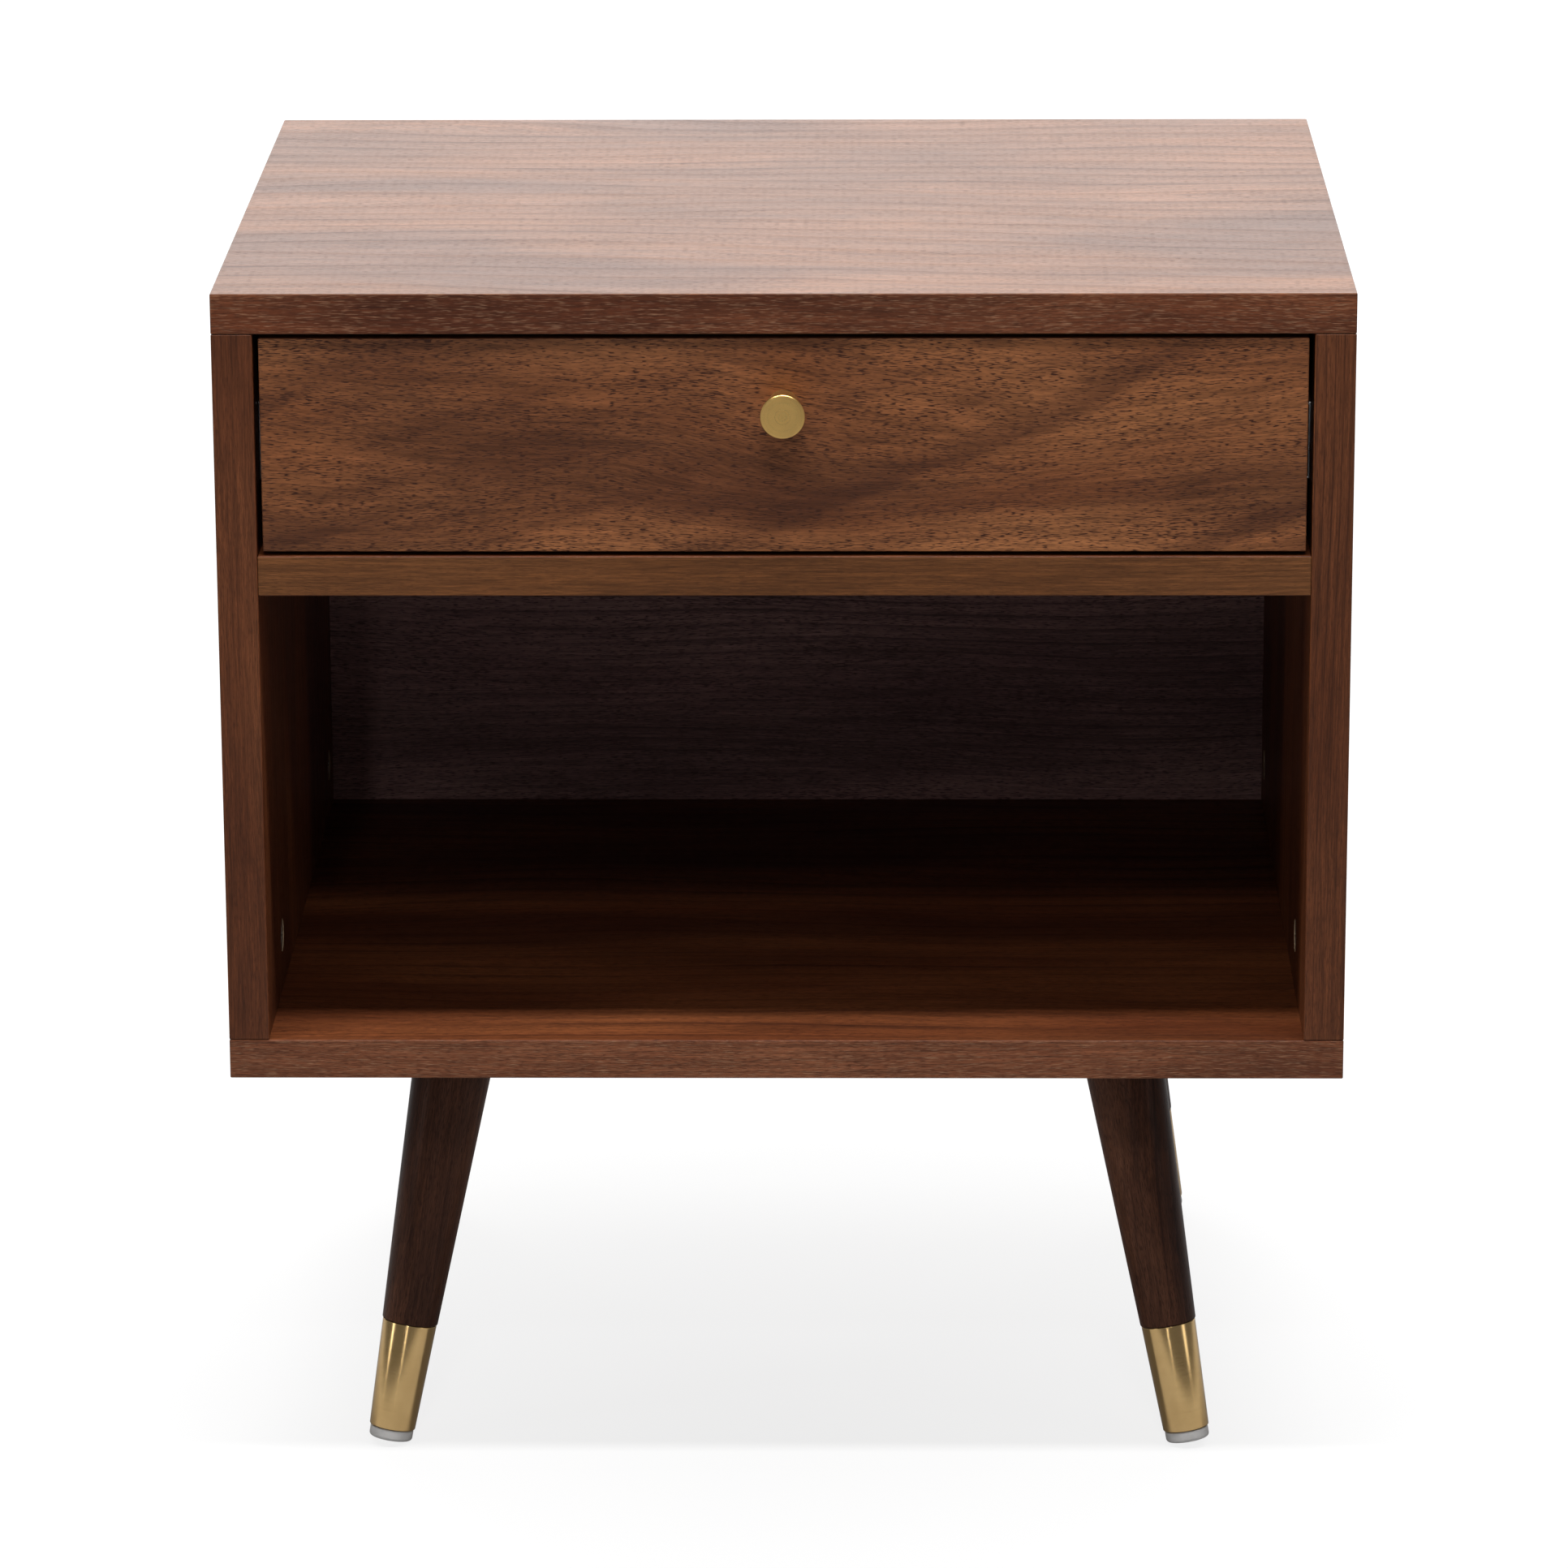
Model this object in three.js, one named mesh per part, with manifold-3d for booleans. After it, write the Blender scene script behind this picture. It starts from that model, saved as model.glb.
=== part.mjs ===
// A bedside table: a veneered cabinet with one drawer above an open compartment, on four splayed
// round legs with brass ferrules. Millimetres, +Z up, front towards -Y, origin on the floor under the
// middle of the object's box.
import * as THREE from "three";
import { mergeVertices } from "three/addons/utils/BufferGeometryUtils.js";
import Module from "manifold-3d";

// ---- Cabinet ----
const cabinetWidth = 500;
const cabinetDepth = 400;
const overallHeight = 550;
const legHeight = 190; // floor to the underside of the bottom panel
const boardThickness = 18;
const drawerBayHeight = 100; // middle shelf to top panel
const backThickness = 5;
const backInset = 10; // behind the back panel, to the cabinet's rear edge
const backGrooveDepth = 6;
const grooveSlack = 0.3; // each side of a panel that sits in a groove
const jointGap = 0.1; // glue line between two boards that butt together

// ---- Knock-down fittings ----
const camRadius = 7.4;
const camBehindBolt = 3.7; // the cam's length beyond the middle of the board, where its bolt runs
const camRecess = 0.3; // face of the cam below the panel's face
const camBoreSlack = 0.2;
const camEdgeDistance = 25; // bore centre to the end of the side panel
const camFrontInset = 78;
const camRearInset = 40;
const camSlotWidth = 1.6;
const camSlotLength = 8;
const camSlotDepth = 2.5;
const boltThreadRadius = 2.9;
const boltThreadLength = 11;
const boltCollarRadius = 3.5;
const boltShankRadius = 2.5;
const boltHeadRadius = 3.1;
const boltHeadLength = 3;
const boltSlack = 0.3;
const dowelRadius = 4;
const dowelLength = 30;
const dowelInSide = 12;
const dowelSlack = 0.2;
const dowelFrontInset = 60;
const dowelRearInset = 60;

// ---- Drawer ----
const frontThickness = 18;
const frontRecess = 1.5; // drawer front behind the cabinet's front edges
const frontSideGap = 2.5;
const frontTopGap = 2.2;
const frontBottomGap = 1.8;
const drawerBoard = 12;
const drawerSideHeight = 76;
const drawerSideRise = 9.2; // shelf to the lower edge of the drawer's sides
const drawerBottomThickness = 4;
const drawerBottomRise = 8; // lower edge of the sides to the drawer bottom
const drawerGrooveDepth = 5;

// ---- Knob ----
const knobDrop = 29.5; // top edge of the drawer front to the knob's axis
const knobLength = 24.5;
const knobFaceRadius = 9.8;
const knobBaseRadius = 6.6;
const knobChamfer = 0.6;
const knobScrewRadius = 2;
const knobScrewDepth = 12; // thread inside the knob
const knobScrewHeadRadius = 4;
const knobScrewHeadHeight = 2.4;
const screwSlack = 0.3;

// ---- Slides ----
const slideThickness = 12.7; // side panel to drawer side
const slideHeight = 35;
const slideWall = 1.2;
const slideBallGap = 2.8; // between two nested flanges, filled by the balls
const slideLengthStep = 50; // slides are sold in steps of this length
const slideFrontSetback = 1.5; // behind the drawer front
const slideRearClearance = 3;
const slideWebGap = 2.2; // room for screw heads between two webs

// ---- Legs ----
const legTilt = THREE.MathUtils.degToRad(13.9);
const legSideInset = 98.7; // cabinet's side to the leg's axis, at the bottom panel
const legFrontInset = 73;
const legRearInset = 73;
const legTopRadius = 18.5;
const legLowRadius = 12.9; // wood just above the ferrule
const legEdgeRound = 1;
const legSegments = 24; // facets round a leg, its ferrule and its glide
const ferruleLength = 50;
const ferruleTopRadius = 12.5;
const ferruleLowRadius = 10.6;
const ferruleWall = 0.9;
const fitGap = 0.3; // between pieces inside the tilted leg
const glideThickness = 5;
const glideRadius = 10;
const glideEdgeRound = 1.6;
const glideWear = 0.8; // how far the tilted glide is worn flat on the floor
const glideStemRadius = 2.5;
const glideStemLength = 15;
const plateSize = 64;
const plateThickness = 3;
const plateCornerRadius = 6;
const plateHoleInset = 8;
const plateHoleRadius = 2.4;
const plateSinkRadius = 4.6; // countersink at the lower face
const bossRadius = 16;
const hangerRadius = 4;
const hangerInLeg = 38;
const hangerPoint = 6;

// ---- Finishes ----
const finish = (color, roughness, metalness) =>
  new THREE.MeshStandardMaterial({ color, roughness, metalness });
const walnut = finish(0x6b4530, 0.5, 0);
const darkWalnut = finish(0x4a2e22, 0.55, 0);
const legWood = finish(0x34221b, 0.45, 0);
const drawerWood = finish(0x8a6a4c, 0.6, 0);
const hardboard = finish(0x5b4030, 0.75, 0);
const beech = finish(0xc9a57b, 0.7, 0);
const brass = finish(0xb5935a, 0.3, 1);
const zincSteel = finish(0xb9bdc2, 0.35, 1);
const blackSteel = finish(0x1d1c1c, 0.5, 0.6);
const camZinc = finish(0x8e8f90, 0.45, 0.9);
const glidePlastic = finish(0xc2c2c2, 0.5, 0);

// ---- Places worked out from the sizes ----
// In the cabinet's own frame x is across, y runs back from the front edges and z up from the floor.
const halfWidth = cabinetWidth / 2;
const innerHalfWidth = halfWidth - boardThickness;
const bottomTop = legHeight + boardThickness;
const topUnderside = overallHeight - boardThickness;
const shelfTop = topUnderside - drawerBayHeight;
const shelfUnderside = shelfTop - boardThickness;
const backRear = cabinetDepth - backInset;
const backFront = backRear - backThickness;
const frontBack = frontRecess + frontThickness;
const drawerSideLow = shelfTop + drawerSideRise;
const drawerSideTop = drawerSideLow + drawerSideHeight;
const drawerHalfWidth = innerHalfWidth - slideThickness;
const slideFront = frontBack + slideFrontSetback;
const slideRoom = backFront - slideRearClearance - slideFront;
const slideLength = slideLengthStep * Math.floor(slideRoom / slideLengthStep);
const slideCentre = drawerSideLow + drawerSideHeight / 2;
const knobHeight = topUnderside - frontTopGap - knobDrop;
const knobReach = knobLength + jointGap - frontRecess;
const sides = [
  { name: "left", sign: -1 },
  { name: "right", sign: 1 },
];

// ---- Shape helpers ----
const wasm = await Module();
wasm.setup();

/** A closed geometry as a solid that can be joined and cut. */
function solidOf(geometry) {
  const bare = geometry.clone();
  bare.deleteAttribute("normal");
  bare.deleteAttribute("uv");
  const merged = mergeVertices(bare, 1e-4);
  return new wasm.Manifold(
    new wasm.Mesh({
      numProp: 3,
      vertProperties: merged.attributes.position.array,
      triVerts: new Uint32Array(merged.index.array),
    }),
  );
}

/** A solid as a geometry with flat faces. */
function geometryOf(solid) {
  const mesh = solid.getMesh();
  const geometry = new THREE.BufferGeometry();
  geometry.setAttribute("position", new THREE.BufferAttribute(mesh.vertProperties, 3));
  geometry.setIndex(new THREE.BufferAttribute(mesh.triVerts, 1));
  const flat = geometry.toNonIndexed();
  flat.computeVertexNormals();
  return flat;
}

/** A geometry with other geometries cut out of it. */
function cut(geometry, cutters) {
  const rest = cutters.reduce((solid, cutter) => solid.subtract(solidOf(cutter)), solidOf(geometry));
  return geometryOf(rest);
}

/** A box between two opposite corners. */
function block(low, high) {
  const size = high.map((value, i) => value - low[i]);
  const middle = high.map((value, i) => (value + low[i]) / 2);
  return new THREE.BoxGeometry(...size).translate(...middle);
}

/** A round rod of one radius between two points. */
function rod(radius, from, to, segments = 16) {
  const start = new THREE.Vector3(...from);
  const end = new THREE.Vector3(...to);
  const along = end.clone().sub(start);
  const turn = new THREE.Quaternion().setFromUnitVectors(
    new THREE.Vector3(0, 1, 0),
    along.clone().normalize(),
  );
  return new THREE.CylinderGeometry(radius, radius, along.length(), segments)
    .applyQuaternion(turn)
    .translate(...start.add(end).multiplyScalar(0.5));
}

/** A turned shape. The profile lists [radius, distance] and the distance runs along -Z. */
function turned(profile, segments) {
  const points = profile.map(([radius, distance]) => new THREE.Vector2(radius, distance));
  return new THREE.LatheGeometry(points, segments).rotateX(-Math.PI / 2);
}

/** Points of a quarter circle around (cx, cy), from one angle to another, in degrees. */
function arc(cx, cy, radius, fromDegrees, toDegrees, steps) {
  return Array.from({ length: steps + 1 }, (_, i) => {
    const angle = THREE.MathUtils.degToRad(
      fromDegrees + ((toDegrees - fromDegrees) * i) / steps,
    );
    return [cx + radius * Math.cos(angle), cy + radius * Math.sin(angle)];
  });
}

/** One named sub-part. */
function piece(parent, name, geometry, material) {
  const mesh = new THREE.Mesh(geometry, material);
  mesh.name = name;
  parent.add(mesh);
  return mesh;
}

const nightstand = new THREE.Group();
nightstand.position.y = -(cabinetDepth - knobReach) / 2;

// ---- Cam locks and their bolts ----
// Each cam sits in a bore in the inner face of a side panel. Its bolt is screwed into the top or the
// bottom panel and runs up or down the middle of the side panel into the cam.
const camPlaces = [
  { name: "front", y: camFrontInset },
  { name: "rear", y: cabinetDepth - camRearInset },
].flatMap(({ name, y }) => [
  { name: `${name}_lower`, y, joint: bottomTop, up: 1 },
  { name: `${name}_upper`, y, joint: topUnderside, up: -1 },
]);
const boltAxis = innerHalfWidth + boardThickness / 2;
const camFace = innerHalfWidth + camRecess;
const camLength = boltAxis + camBehindBolt - camFace;

/** What a side panel loses at one cam: the cam's bore and the bolt's bore. */
function camBores(sign, place) {
  const z = place.joint + place.up * camEdgeDistance;
  const boreEnd = camFace + camLength + camBoreSlack;
  const camBore = rod(
    camRadius + camBoreSlack,
    [sign * (innerHalfWidth - 1), place.y, z],
    [sign * boreEnd, place.y, z],
    24,
  );
  const boltBore = rod(
    boltCollarRadius + boltSlack,
    [sign * boltAxis, place.y, place.joint - place.up],
    [sign * boltAxis, place.y, z],
  );
  return [camBore, boltBore];
}

/** The pilot hole for one bolt in the top or bottom panel. */
function boltPilot(sign, place) {
  return rod(
    boltThreadRadius + boltSlack,
    [sign * boltAxis, place.y, place.joint + place.up],
    [sign * boltAxis, place.y, place.joint - place.up * (boltThreadLength + boltSlack)],
  );
}

/** A cam: a disc with a crossed slot in its face and a pocket for the bolt's head. */
function camGeometry(sign, place) {
  const z = place.joint + place.up * camEdgeDistance;
  const body = rod(camRadius, [sign * camFace, place.y, z], [sign * (camFace + camLength), place.y, z], 24);
  const slots = [
    [camSlotWidth, camSlotLength],
    [camSlotLength, camSlotWidth],
  ].map(([wide, high]) =>
    new THREE.BoxGeometry(2 * camSlotDepth, wide, high).translate(sign * camFace, place.y, z),
  );
  const pocketHalf = boltHeadRadius + 2 * boltSlack;
  const pocketDepth = camFace + camLength - boltAxis + pocketHalf + 1;
  const pocketReach = camRadius + pocketHalf + 1;
  const pocket = new THREE.BoxGeometry(pocketDepth, 2 * pocketHalf, pocketReach).translate(
    sign * (boltAxis - pocketHalf + pocketDepth / 2),
    place.y,
    z - place.up * (pocketReach / 2 - pocketHalf),
  );
  return cut(body, [...slots, pocket]);
}

/** A cam bolt: thread, collar at the joint, shank and round head, along one line. */
function boltGeometry() {
  const headEnd = camEdgeDistance + boltHeadRadius / 2;
  const headStart = headEnd - boltHeadLength;
  return turned(
    [
      [0, -boltThreadLength],
      [boltThreadRadius, 1 - boltThreadLength],
      [boltThreadRadius, 0],
      [boltCollarRadius, jointGap + boltSlack],
      [boltCollarRadius, jointGap + 2],
      [boltShankRadius, jointGap + 2.5],
      [boltShankRadius, headStart],
      [boltHeadRadius, headStart + 1],
      [boltHeadRadius, headEnd - 0.5],
      [0, headEnd],
    ],
    12,
  );
}

for (const side of sides)
  for (const place of camPlaces) {
    piece(nightstand, `${side.name}_${place.name}_cam_lock`, camGeometry(side.sign, place), camZinc);
    const bolt = piece(nightstand, `${side.name}_${place.name}_cam_bolt`, boltGeometry(), zincSteel);
    bolt.position.set(side.sign * boltAxis, place.y, place.joint);
    bolt.rotation.x = place.up > 0 ? Math.PI : 0;
  }

// ---- Shelf dowels ----
const dowelPlaces = [
  { name: "front", y: dowelFrontInset },
  { name: "rear", y: cabinetDepth - backInset - dowelRearInset },
];
const shelfMiddle = shelfTop - boardThickness / 2;

/** A rod on a dowel's axis that is larger than the dowel by slack, all round. */
function dowelShape(sign, y, slack) {
  const outer = innerHalfWidth + dowelInSide + slack;
  const inner = innerHalfWidth + dowelInSide - dowelLength - slack;
  return rod(dowelRadius + slack, [sign * inner, y, shelfMiddle], [sign * outer, y, shelfMiddle]);
}

for (const side of sides)
  for (const place of dowelPlaces)
    piece(nightstand, `${side.name}_${place.name}_shelf_dowel`, dowelShape(side.sign, place.y, 0), beech);
const dowelBores = (sign) => dowelPlaces.map(({ y }) => dowelShape(sign, y, dowelSlack));

// ---- Cabinet boards ----
// The top and bottom panels are full width, and the sides stand between them. The back panel slides
// into grooves in all four, and the middle shelf is dowelled between the sides.
const backHalfWidth = innerHalfWidth + backGrooveDepth - grooveSlack;
const backLow = bottomTop - backGrooveDepth + grooveSlack;
const backHigh = topUnderside + backGrooveDepth - grooveSlack;
const backSlot = block(
  [-backHalfWidth - grooveSlack, backFront - grooveSlack, backLow - grooveSlack],
  [backHalfWidth + grooveSlack, backRear + grooveSlack, backHigh + grooveSlack],
);
const camPilots = (up) =>
  sides.flatMap(({ sign }) =>
    camPlaces.filter((place) => place.up === up).map((place) => boltPilot(sign, place)),
  );

const topBlank = block([-halfWidth, 0, topUnderside], [halfWidth, cabinetDepth, overallHeight]);
piece(nightstand, "top_panel", cut(topBlank, [backSlot, ...camPilots(-1)]), walnut);

const bottomBlank = block([-halfWidth, 0, legHeight], [halfWidth, cabinetDepth, bottomTop]);
piece(nightstand, "bottom_panel", cut(bottomBlank, [backSlot, ...camPilots(1)]), walnut);

for (const { name, sign } of sides) {
  const faces = [sign * innerHalfWidth, sign * halfWidth].sort((a, b) => a - b);
  const blank = block(
    [faces[0], 0, bottomTop + jointGap],
    [faces[1], cabinetDepth, topUnderside - jointGap],
  );
  const bores = camPlaces.flatMap((place) => camBores(sign, place));
  piece(nightstand, `${name}_side_panel`, cut(blank, [backSlot, ...bores, ...dowelBores(sign)]), walnut);
}

const shelfBlank = block(
  [-innerHalfWidth + jointGap, 0, shelfUnderside],
  [innerHalfWidth - jointGap, backFront - grooveSlack, shelfTop],
);
piece(nightstand, "middle_shelf", cut(shelfBlank, sides.flatMap(({ sign }) => dowelBores(sign))), walnut);

piece(
  nightstand,
  "back_panel",
  block([-backHalfWidth, backFront, backLow], [backHalfWidth, backRear, backHigh]),
  darkWalnut,
);

// ---- Drawer box ----
// Two sides behind the inset front, a back between them, and a thin bottom in grooves.
const drawer = new THREE.Group();
nightstand.add(drawer);
const bottomLow = drawerSideLow + drawerBottomRise;
const bottomHigh = bottomLow + drawerBottomThickness;
const drawerSideFront = frontBack + jointGap;
const drawerSideRear = drawerSideFront + slideLength;
const drawerInnerHalf = drawerHalfWidth - drawerBoard;
const bottomHalfWidth = drawerInnerHalf + drawerGrooveDepth - grooveSlack;
const bottomFront = frontBack - drawerGrooveDepth + grooveSlack;
const bottomSlot = block(
  [-bottomHalfWidth - grooveSlack, bottomFront - grooveSlack, bottomLow - grooveSlack],
  [bottomHalfWidth + grooveSlack, drawerSideRear + 1, bottomHigh + grooveSlack],
);
const frontHalfWidth = innerHalfWidth - frontSideGap;
const frontBlank = block(
  [-frontHalfWidth, frontRecess, shelfTop + frontBottomGap],
  [frontHalfWidth, frontBack, topUnderside - frontTopGap],
);
const knobScrewBore = rod(
  knobScrewRadius + screwSlack,
  [0, frontRecess - 1, knobHeight],
  [0, frontBack + 1, knobHeight],
);
piece(drawer, "drawer_front", cut(frontBlank, [bottomSlot, knobScrewBore]), walnut);

for (const { name, sign } of sides) {
  const faces = [sign * drawerInnerHalf, sign * drawerHalfWidth].sort((a, b) => a - b);
  const blank = block(
    [faces[0], drawerSideFront, drawerSideLow],
    [faces[1], drawerSideRear, drawerSideTop],
  );
  piece(drawer, `drawer_${name}_side`, cut(blank, [bottomSlot]), drawerWood);
}

piece(
  drawer,
  "drawer_back",
  block(
    [-drawerInnerHalf + jointGap, drawerSideRear - drawerBoard, bottomHigh + jointGap],
    [drawerInnerHalf - jointGap, drawerSideRear, drawerSideTop],
  ),
  drawerWood,
);
piece(
  drawer,
  "drawer_bottom",
  block([-bottomHalfWidth, bottomFront, bottomLow], [bottomHalfWidth, drawerSideRear, bottomHigh]),
  hardboard,
);

// ---- Knob and its screw ----
// A cone that widens from the drawer front to a flat round face. The profiles run out along -Y from
// the drawer front, with the knob's blind hole at its base.
const knobProfile = [
  [0, knobScrewDepth + 1],
  [knobScrewRadius + screwSlack, knobScrewDepth],
  [knobScrewRadius + screwSlack, 0],
  [knobBaseRadius - knobChamfer / 2, 0],
  [knobBaseRadius, knobChamfer / 2],
  [knobFaceRadius, knobLength - knobChamfer],
  [knobFaceRadius - knobChamfer, knobLength],
  [0, knobLength],
];
const knob = piece(drawer, "drawer_knob", turned(knobProfile, 32), brass);
knob.position.set(0, frontRecess - jointGap, knobHeight);
knob.rotation.x = -Math.PI / 2;

const screwHeadBase = frontThickness + jointGap + 0.2;
const knobScrewProfile = [
  [0, -screwHeadBase - knobScrewHeadHeight],
  [knobScrewHeadRadius - 1, -screwHeadBase - knobScrewHeadHeight],
  [knobScrewHeadRadius, -screwHeadBase - knobScrewHeadHeight + 1],
  [knobScrewHeadRadius, -screwHeadBase],
  [knobScrewRadius, -screwHeadBase],
  [knobScrewRadius, knobScrewDepth - 1],
  [0, knobScrewDepth - screwSlack],
];
const knobScrew = piece(drawer, "knob_screw", turned(knobScrewProfile, 16), zincSteel);
knobScrew.position.copy(knob.position);
knobScrew.rotation.copy(knob.rotation);

// ---- Drawer slides ----
// Three nested channels a side: one on the cabinet, one on the drawer, one between them on balls.
/** A channel along y. Its web stands from x = web to web + wall, and its flanges reach towards tip. */
function channel(web, tip, halfHeight) {
  const back = tip > web ? web : web + slideWall;
  const inner = tip > web ? web + slideWall : web;
  const flangeInside = halfHeight - slideWall;
  const outline = [
    [back, -halfHeight],
    [tip, -halfHeight],
    [tip, -flangeInside],
    [inner, -flangeInside],
    [inner, flangeInside],
    [tip, flangeInside],
    [tip, halfHeight],
    [back, halfHeight],
  ];
  const shape = new THREE.Shape(outline.map(([x, z]) => new THREE.Vector2(x, z)));
  return new THREE.ExtrudeGeometry(shape, { depth: slideLength, bevelEnabled: false }).rotateX(
    -Math.PI / 2,
  );
}

// Distances from the side panel's inner face towards the drawer.
const outerWeb = jointGap;
const middleWeb = outerWeb + slideWall + slideWebGap;
const innerWeb = slideThickness - jointGap - slideWall;
const outerTip = innerWeb - slideWall;
const middleTip = innerWeb - 0.6;
const innerTip = middleWeb + slideWall + slideWebGap;
const middleHalf = slideHeight / 2 - slideWall - slideBallGap;
const innerHalf = middleHalf - slideWall - slideBallGap;
const members = [
  { name: "cabinet", parent: nightstand, web: outerWeb, tip: outerTip, half: slideHeight / 2 },
  { name: "middle", parent: nightstand, web: middleWeb, tip: middleTip, half: middleHalf },
  { name: "drawer", parent: drawer, web: innerWeb, tip: innerTip, half: innerHalf },
];

for (const { name, sign } of sides)
  for (const member of members) {
    const mesh = piece(
      member.parent,
      `${name}_slide_${member.name}_member`,
      channel(member.web, member.tip, member.half),
      zincSteel,
    );
    mesh.position.set(sign * innerHalfWidth, slideFront, slideCentre);
    mesh.scale.x = -sign;
  }

// ---- Legs ----
// Each leg's parts share an axis that leaves the bottom panel at the leg's place and leans outwards
// by legTilt along the diagonal. Distances run down that axis from the bottom panel's underside.
const sinTilt = Math.sin(legTilt);
const cosTilt = Math.cos(legTilt);
const seatDistance = (jointGap + plateThickness + fitGap + legTopRadius * sinTilt) / cosTilt;
const woodTop = seatDistance + fitGap;
const glideEnd = (legHeight - glideRadius * sinTilt + glideWear) / cosTilt;
const glideStart = glideEnd - glideThickness;
const ferruleEnd = glideStart - fitGap;
const ferruleStart = ferruleEnd - ferruleLength;
const shoulder = ferruleStart - fitGap;
const woodEnd = ferruleEnd;

/** The ferrule's outer radius at a distance from its upper edge. */
const ferruleRadius = (distance) =>
  THREE.MathUtils.lerp(ferruleTopRadius, ferruleLowRadius, distance / ferruleLength);

/** The turned leg with a spigot for the ferrule and a blind hole at each end. */
function legGeometry() {
  const hangerHole = hangerRadius + fitGap;
  const hangerHoleEnd = woodTop + hangerInLeg + hangerPoint + fitGap;
  const stemHole = glideStemRadius + fitGap;
  const stemHoleEnd = glideStart - glideStemLength - fitGap;
  const spigotTop = ferruleRadius(-fitGap) - ferruleWall - fitGap;
  const spigotLow = ferruleRadius(ferruleLength) - ferruleWall - fitGap;
  return turned(
    [
      [0, hangerHoleEnd],
      [hangerHole, hangerHoleEnd],
      [hangerHole, woodTop],
      [legTopRadius - legEdgeRound, woodTop],
      [legTopRadius, woodTop + legEdgeRound],
      [legLowRadius, shoulder - legEdgeRound / 2],
      [legLowRadius - legEdgeRound / 2, shoulder],
      [spigotTop, shoulder],
      [spigotLow, woodEnd],
      [stemHole, woodEnd],
      [stemHole, stemHoleEnd],
      [0, stemHoleEnd],
    ],
    legSegments,
  );
}

/** The ferrule: a tapered tube, open at both ends. */
function ferruleGeometry() {
  return turned(
    [
      [ferruleTopRadius - ferruleWall, ferruleStart],
      [ferruleTopRadius - 0.3, ferruleStart],
      [ferruleTopRadius, ferruleStart + 0.3],
      [ferruleLowRadius, ferruleEnd - 0.4],
      [ferruleLowRadius - 0.4, ferruleEnd],
      [ferruleLowRadius - ferruleWall, ferruleEnd],
      [ferruleTopRadius - ferruleWall, ferruleStart],
    ],
    legSegments,
  );
}

/** The glide with its stem, worn flat where it meets the floor, in the untilted frame. */
function glideGeometry(tilt) {
  const round = arc(glideRadius - glideEdgeRound, glideEnd - glideEdgeRound, glideEdgeRound, 0, 90, 3);
  const whole = turned(
    [
      [0, glideStart - glideStemLength],
      [glideStemRadius, glideStart - glideStemLength + 2],
      [glideStemRadius, glideStart],
      [glideRadius - 0.4, glideStart],
      [glideRadius, glideStart + 0.4],
      ...round,
      [0, glideEnd],
    ],
    legSegments,
  ).applyMatrix4(tilt);
  const floor = new THREE.BoxGeometry(400, 400, 100).translate(0, 0, -legHeight - 50);
  return cut(whole, [floor]);
}

/** The mounting plate: a square plate with an inclined boss that the leg's top seats on. */
function plateGeometry(tilt) {
  const half = plateSize / 2;
  const corner = half - plateCornerRadius;
  const outline = [0, 90, 180, 270].flatMap((turn) => {
    const angle = THREE.MathUtils.degToRad(turn + 45);
    const x = Math.sign(Math.cos(angle)) * corner;
    const y = Math.sign(Math.sin(angle)) * corner;
    return arc(x, y, plateCornerRadius, turn, turn + 90, 4);
  });
  const shape = new THREE.Shape(outline.map(([x, y]) => new THREE.Vector2(x, y)));
  const plate = new THREE.ExtrudeGeometry(shape, { depth: plateThickness, bevelEnabled: false })
    .rotateZ(Math.PI / 4)
    .translate(0, 0, -jointGap - plateThickness);
  const boss = rod(bossRadius, [0, 0, 20], [0, 0, -seatDistance], legSegments).applyMatrix4(tilt);
  const abovePlate = new THREE.BoxGeometry(200, 200, 100).translate(0, 0, 50 - jointGap);
  const thread = rod(hangerRadius + fitGap, [0, 0, 20], [0, 0, -seatDistance - 1], 16).applyMatrix4(tilt);
  const holes = [45, 135, 225, 315].map((turn) => {
    const reach = (half - plateHoleInset) * Math.SQRT2;
    return new THREE.CylinderGeometry(plateHoleRadius, plateSinkRadius, plateThickness + 0.2, 16)
      .rotateX(Math.PI / 2)
      .translate(reach, 0, -jointGap - plateThickness / 2)
      .rotateZ(THREE.MathUtils.degToRad(turn + 45));
  });
  const joined = solidOf(plate).add(solidOf(boss));
  return cut(geometryOf(joined), [abovePlate, thread, ...holes]);
}

/** The hanger bolt, from the plate's thread down into the leg. */
function hangerGeometry() {
  const start = (jointGap + fitGap + hangerRadius * sinTilt) / cosTilt;
  const end = woodTop + hangerInLeg;
  return turned(
    [
      [0, start],
      [hangerRadius - 0.5, start],
      [hangerRadius, start + 0.5],
      [hangerRadius, end],
      [0, end + hangerPoint],
    ],
    16,
  );
}

const legX = halfWidth - legSideInset;
const legPlaces = [
  { name: "front_left", x: -legX, y: legFrontInset, heading: 225 },
  { name: "front_right", x: legX, y: legFrontInset, heading: 315 },
  { name: "rear_right", x: legX, y: cabinetDepth - legRearInset, heading: 45 },
  { name: "rear_left", x: -legX, y: cabinetDepth - legRearInset, heading: 135 },
];

for (const place of legPlaces) {
  const corner = new THREE.Group();
  corner.position.set(place.x, place.y, legHeight);
  corner.rotation.z = THREE.MathUtils.degToRad(place.heading);
  nightstand.add(corner);
  const leaning = new THREE.Group();
  leaning.rotation.y = -legTilt;
  corner.add(leaning);
  leaning.updateMatrix();
  piece(corner, `${place.name}_leg_plate`, plateGeometry(leaning.matrix), blackSteel);
  piece(corner, `${place.name}_glide`, glideGeometry(leaning.matrix), glidePlastic);
  piece(leaning, `${place.name}_hanger_bolt`, hangerGeometry(), zincSteel);
  piece(leaning, `${place.name}_leg`, legGeometry(), legWood);
  piece(leaning, `${place.name}_ferrule`, ferruleGeometry(), brass);
}

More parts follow.
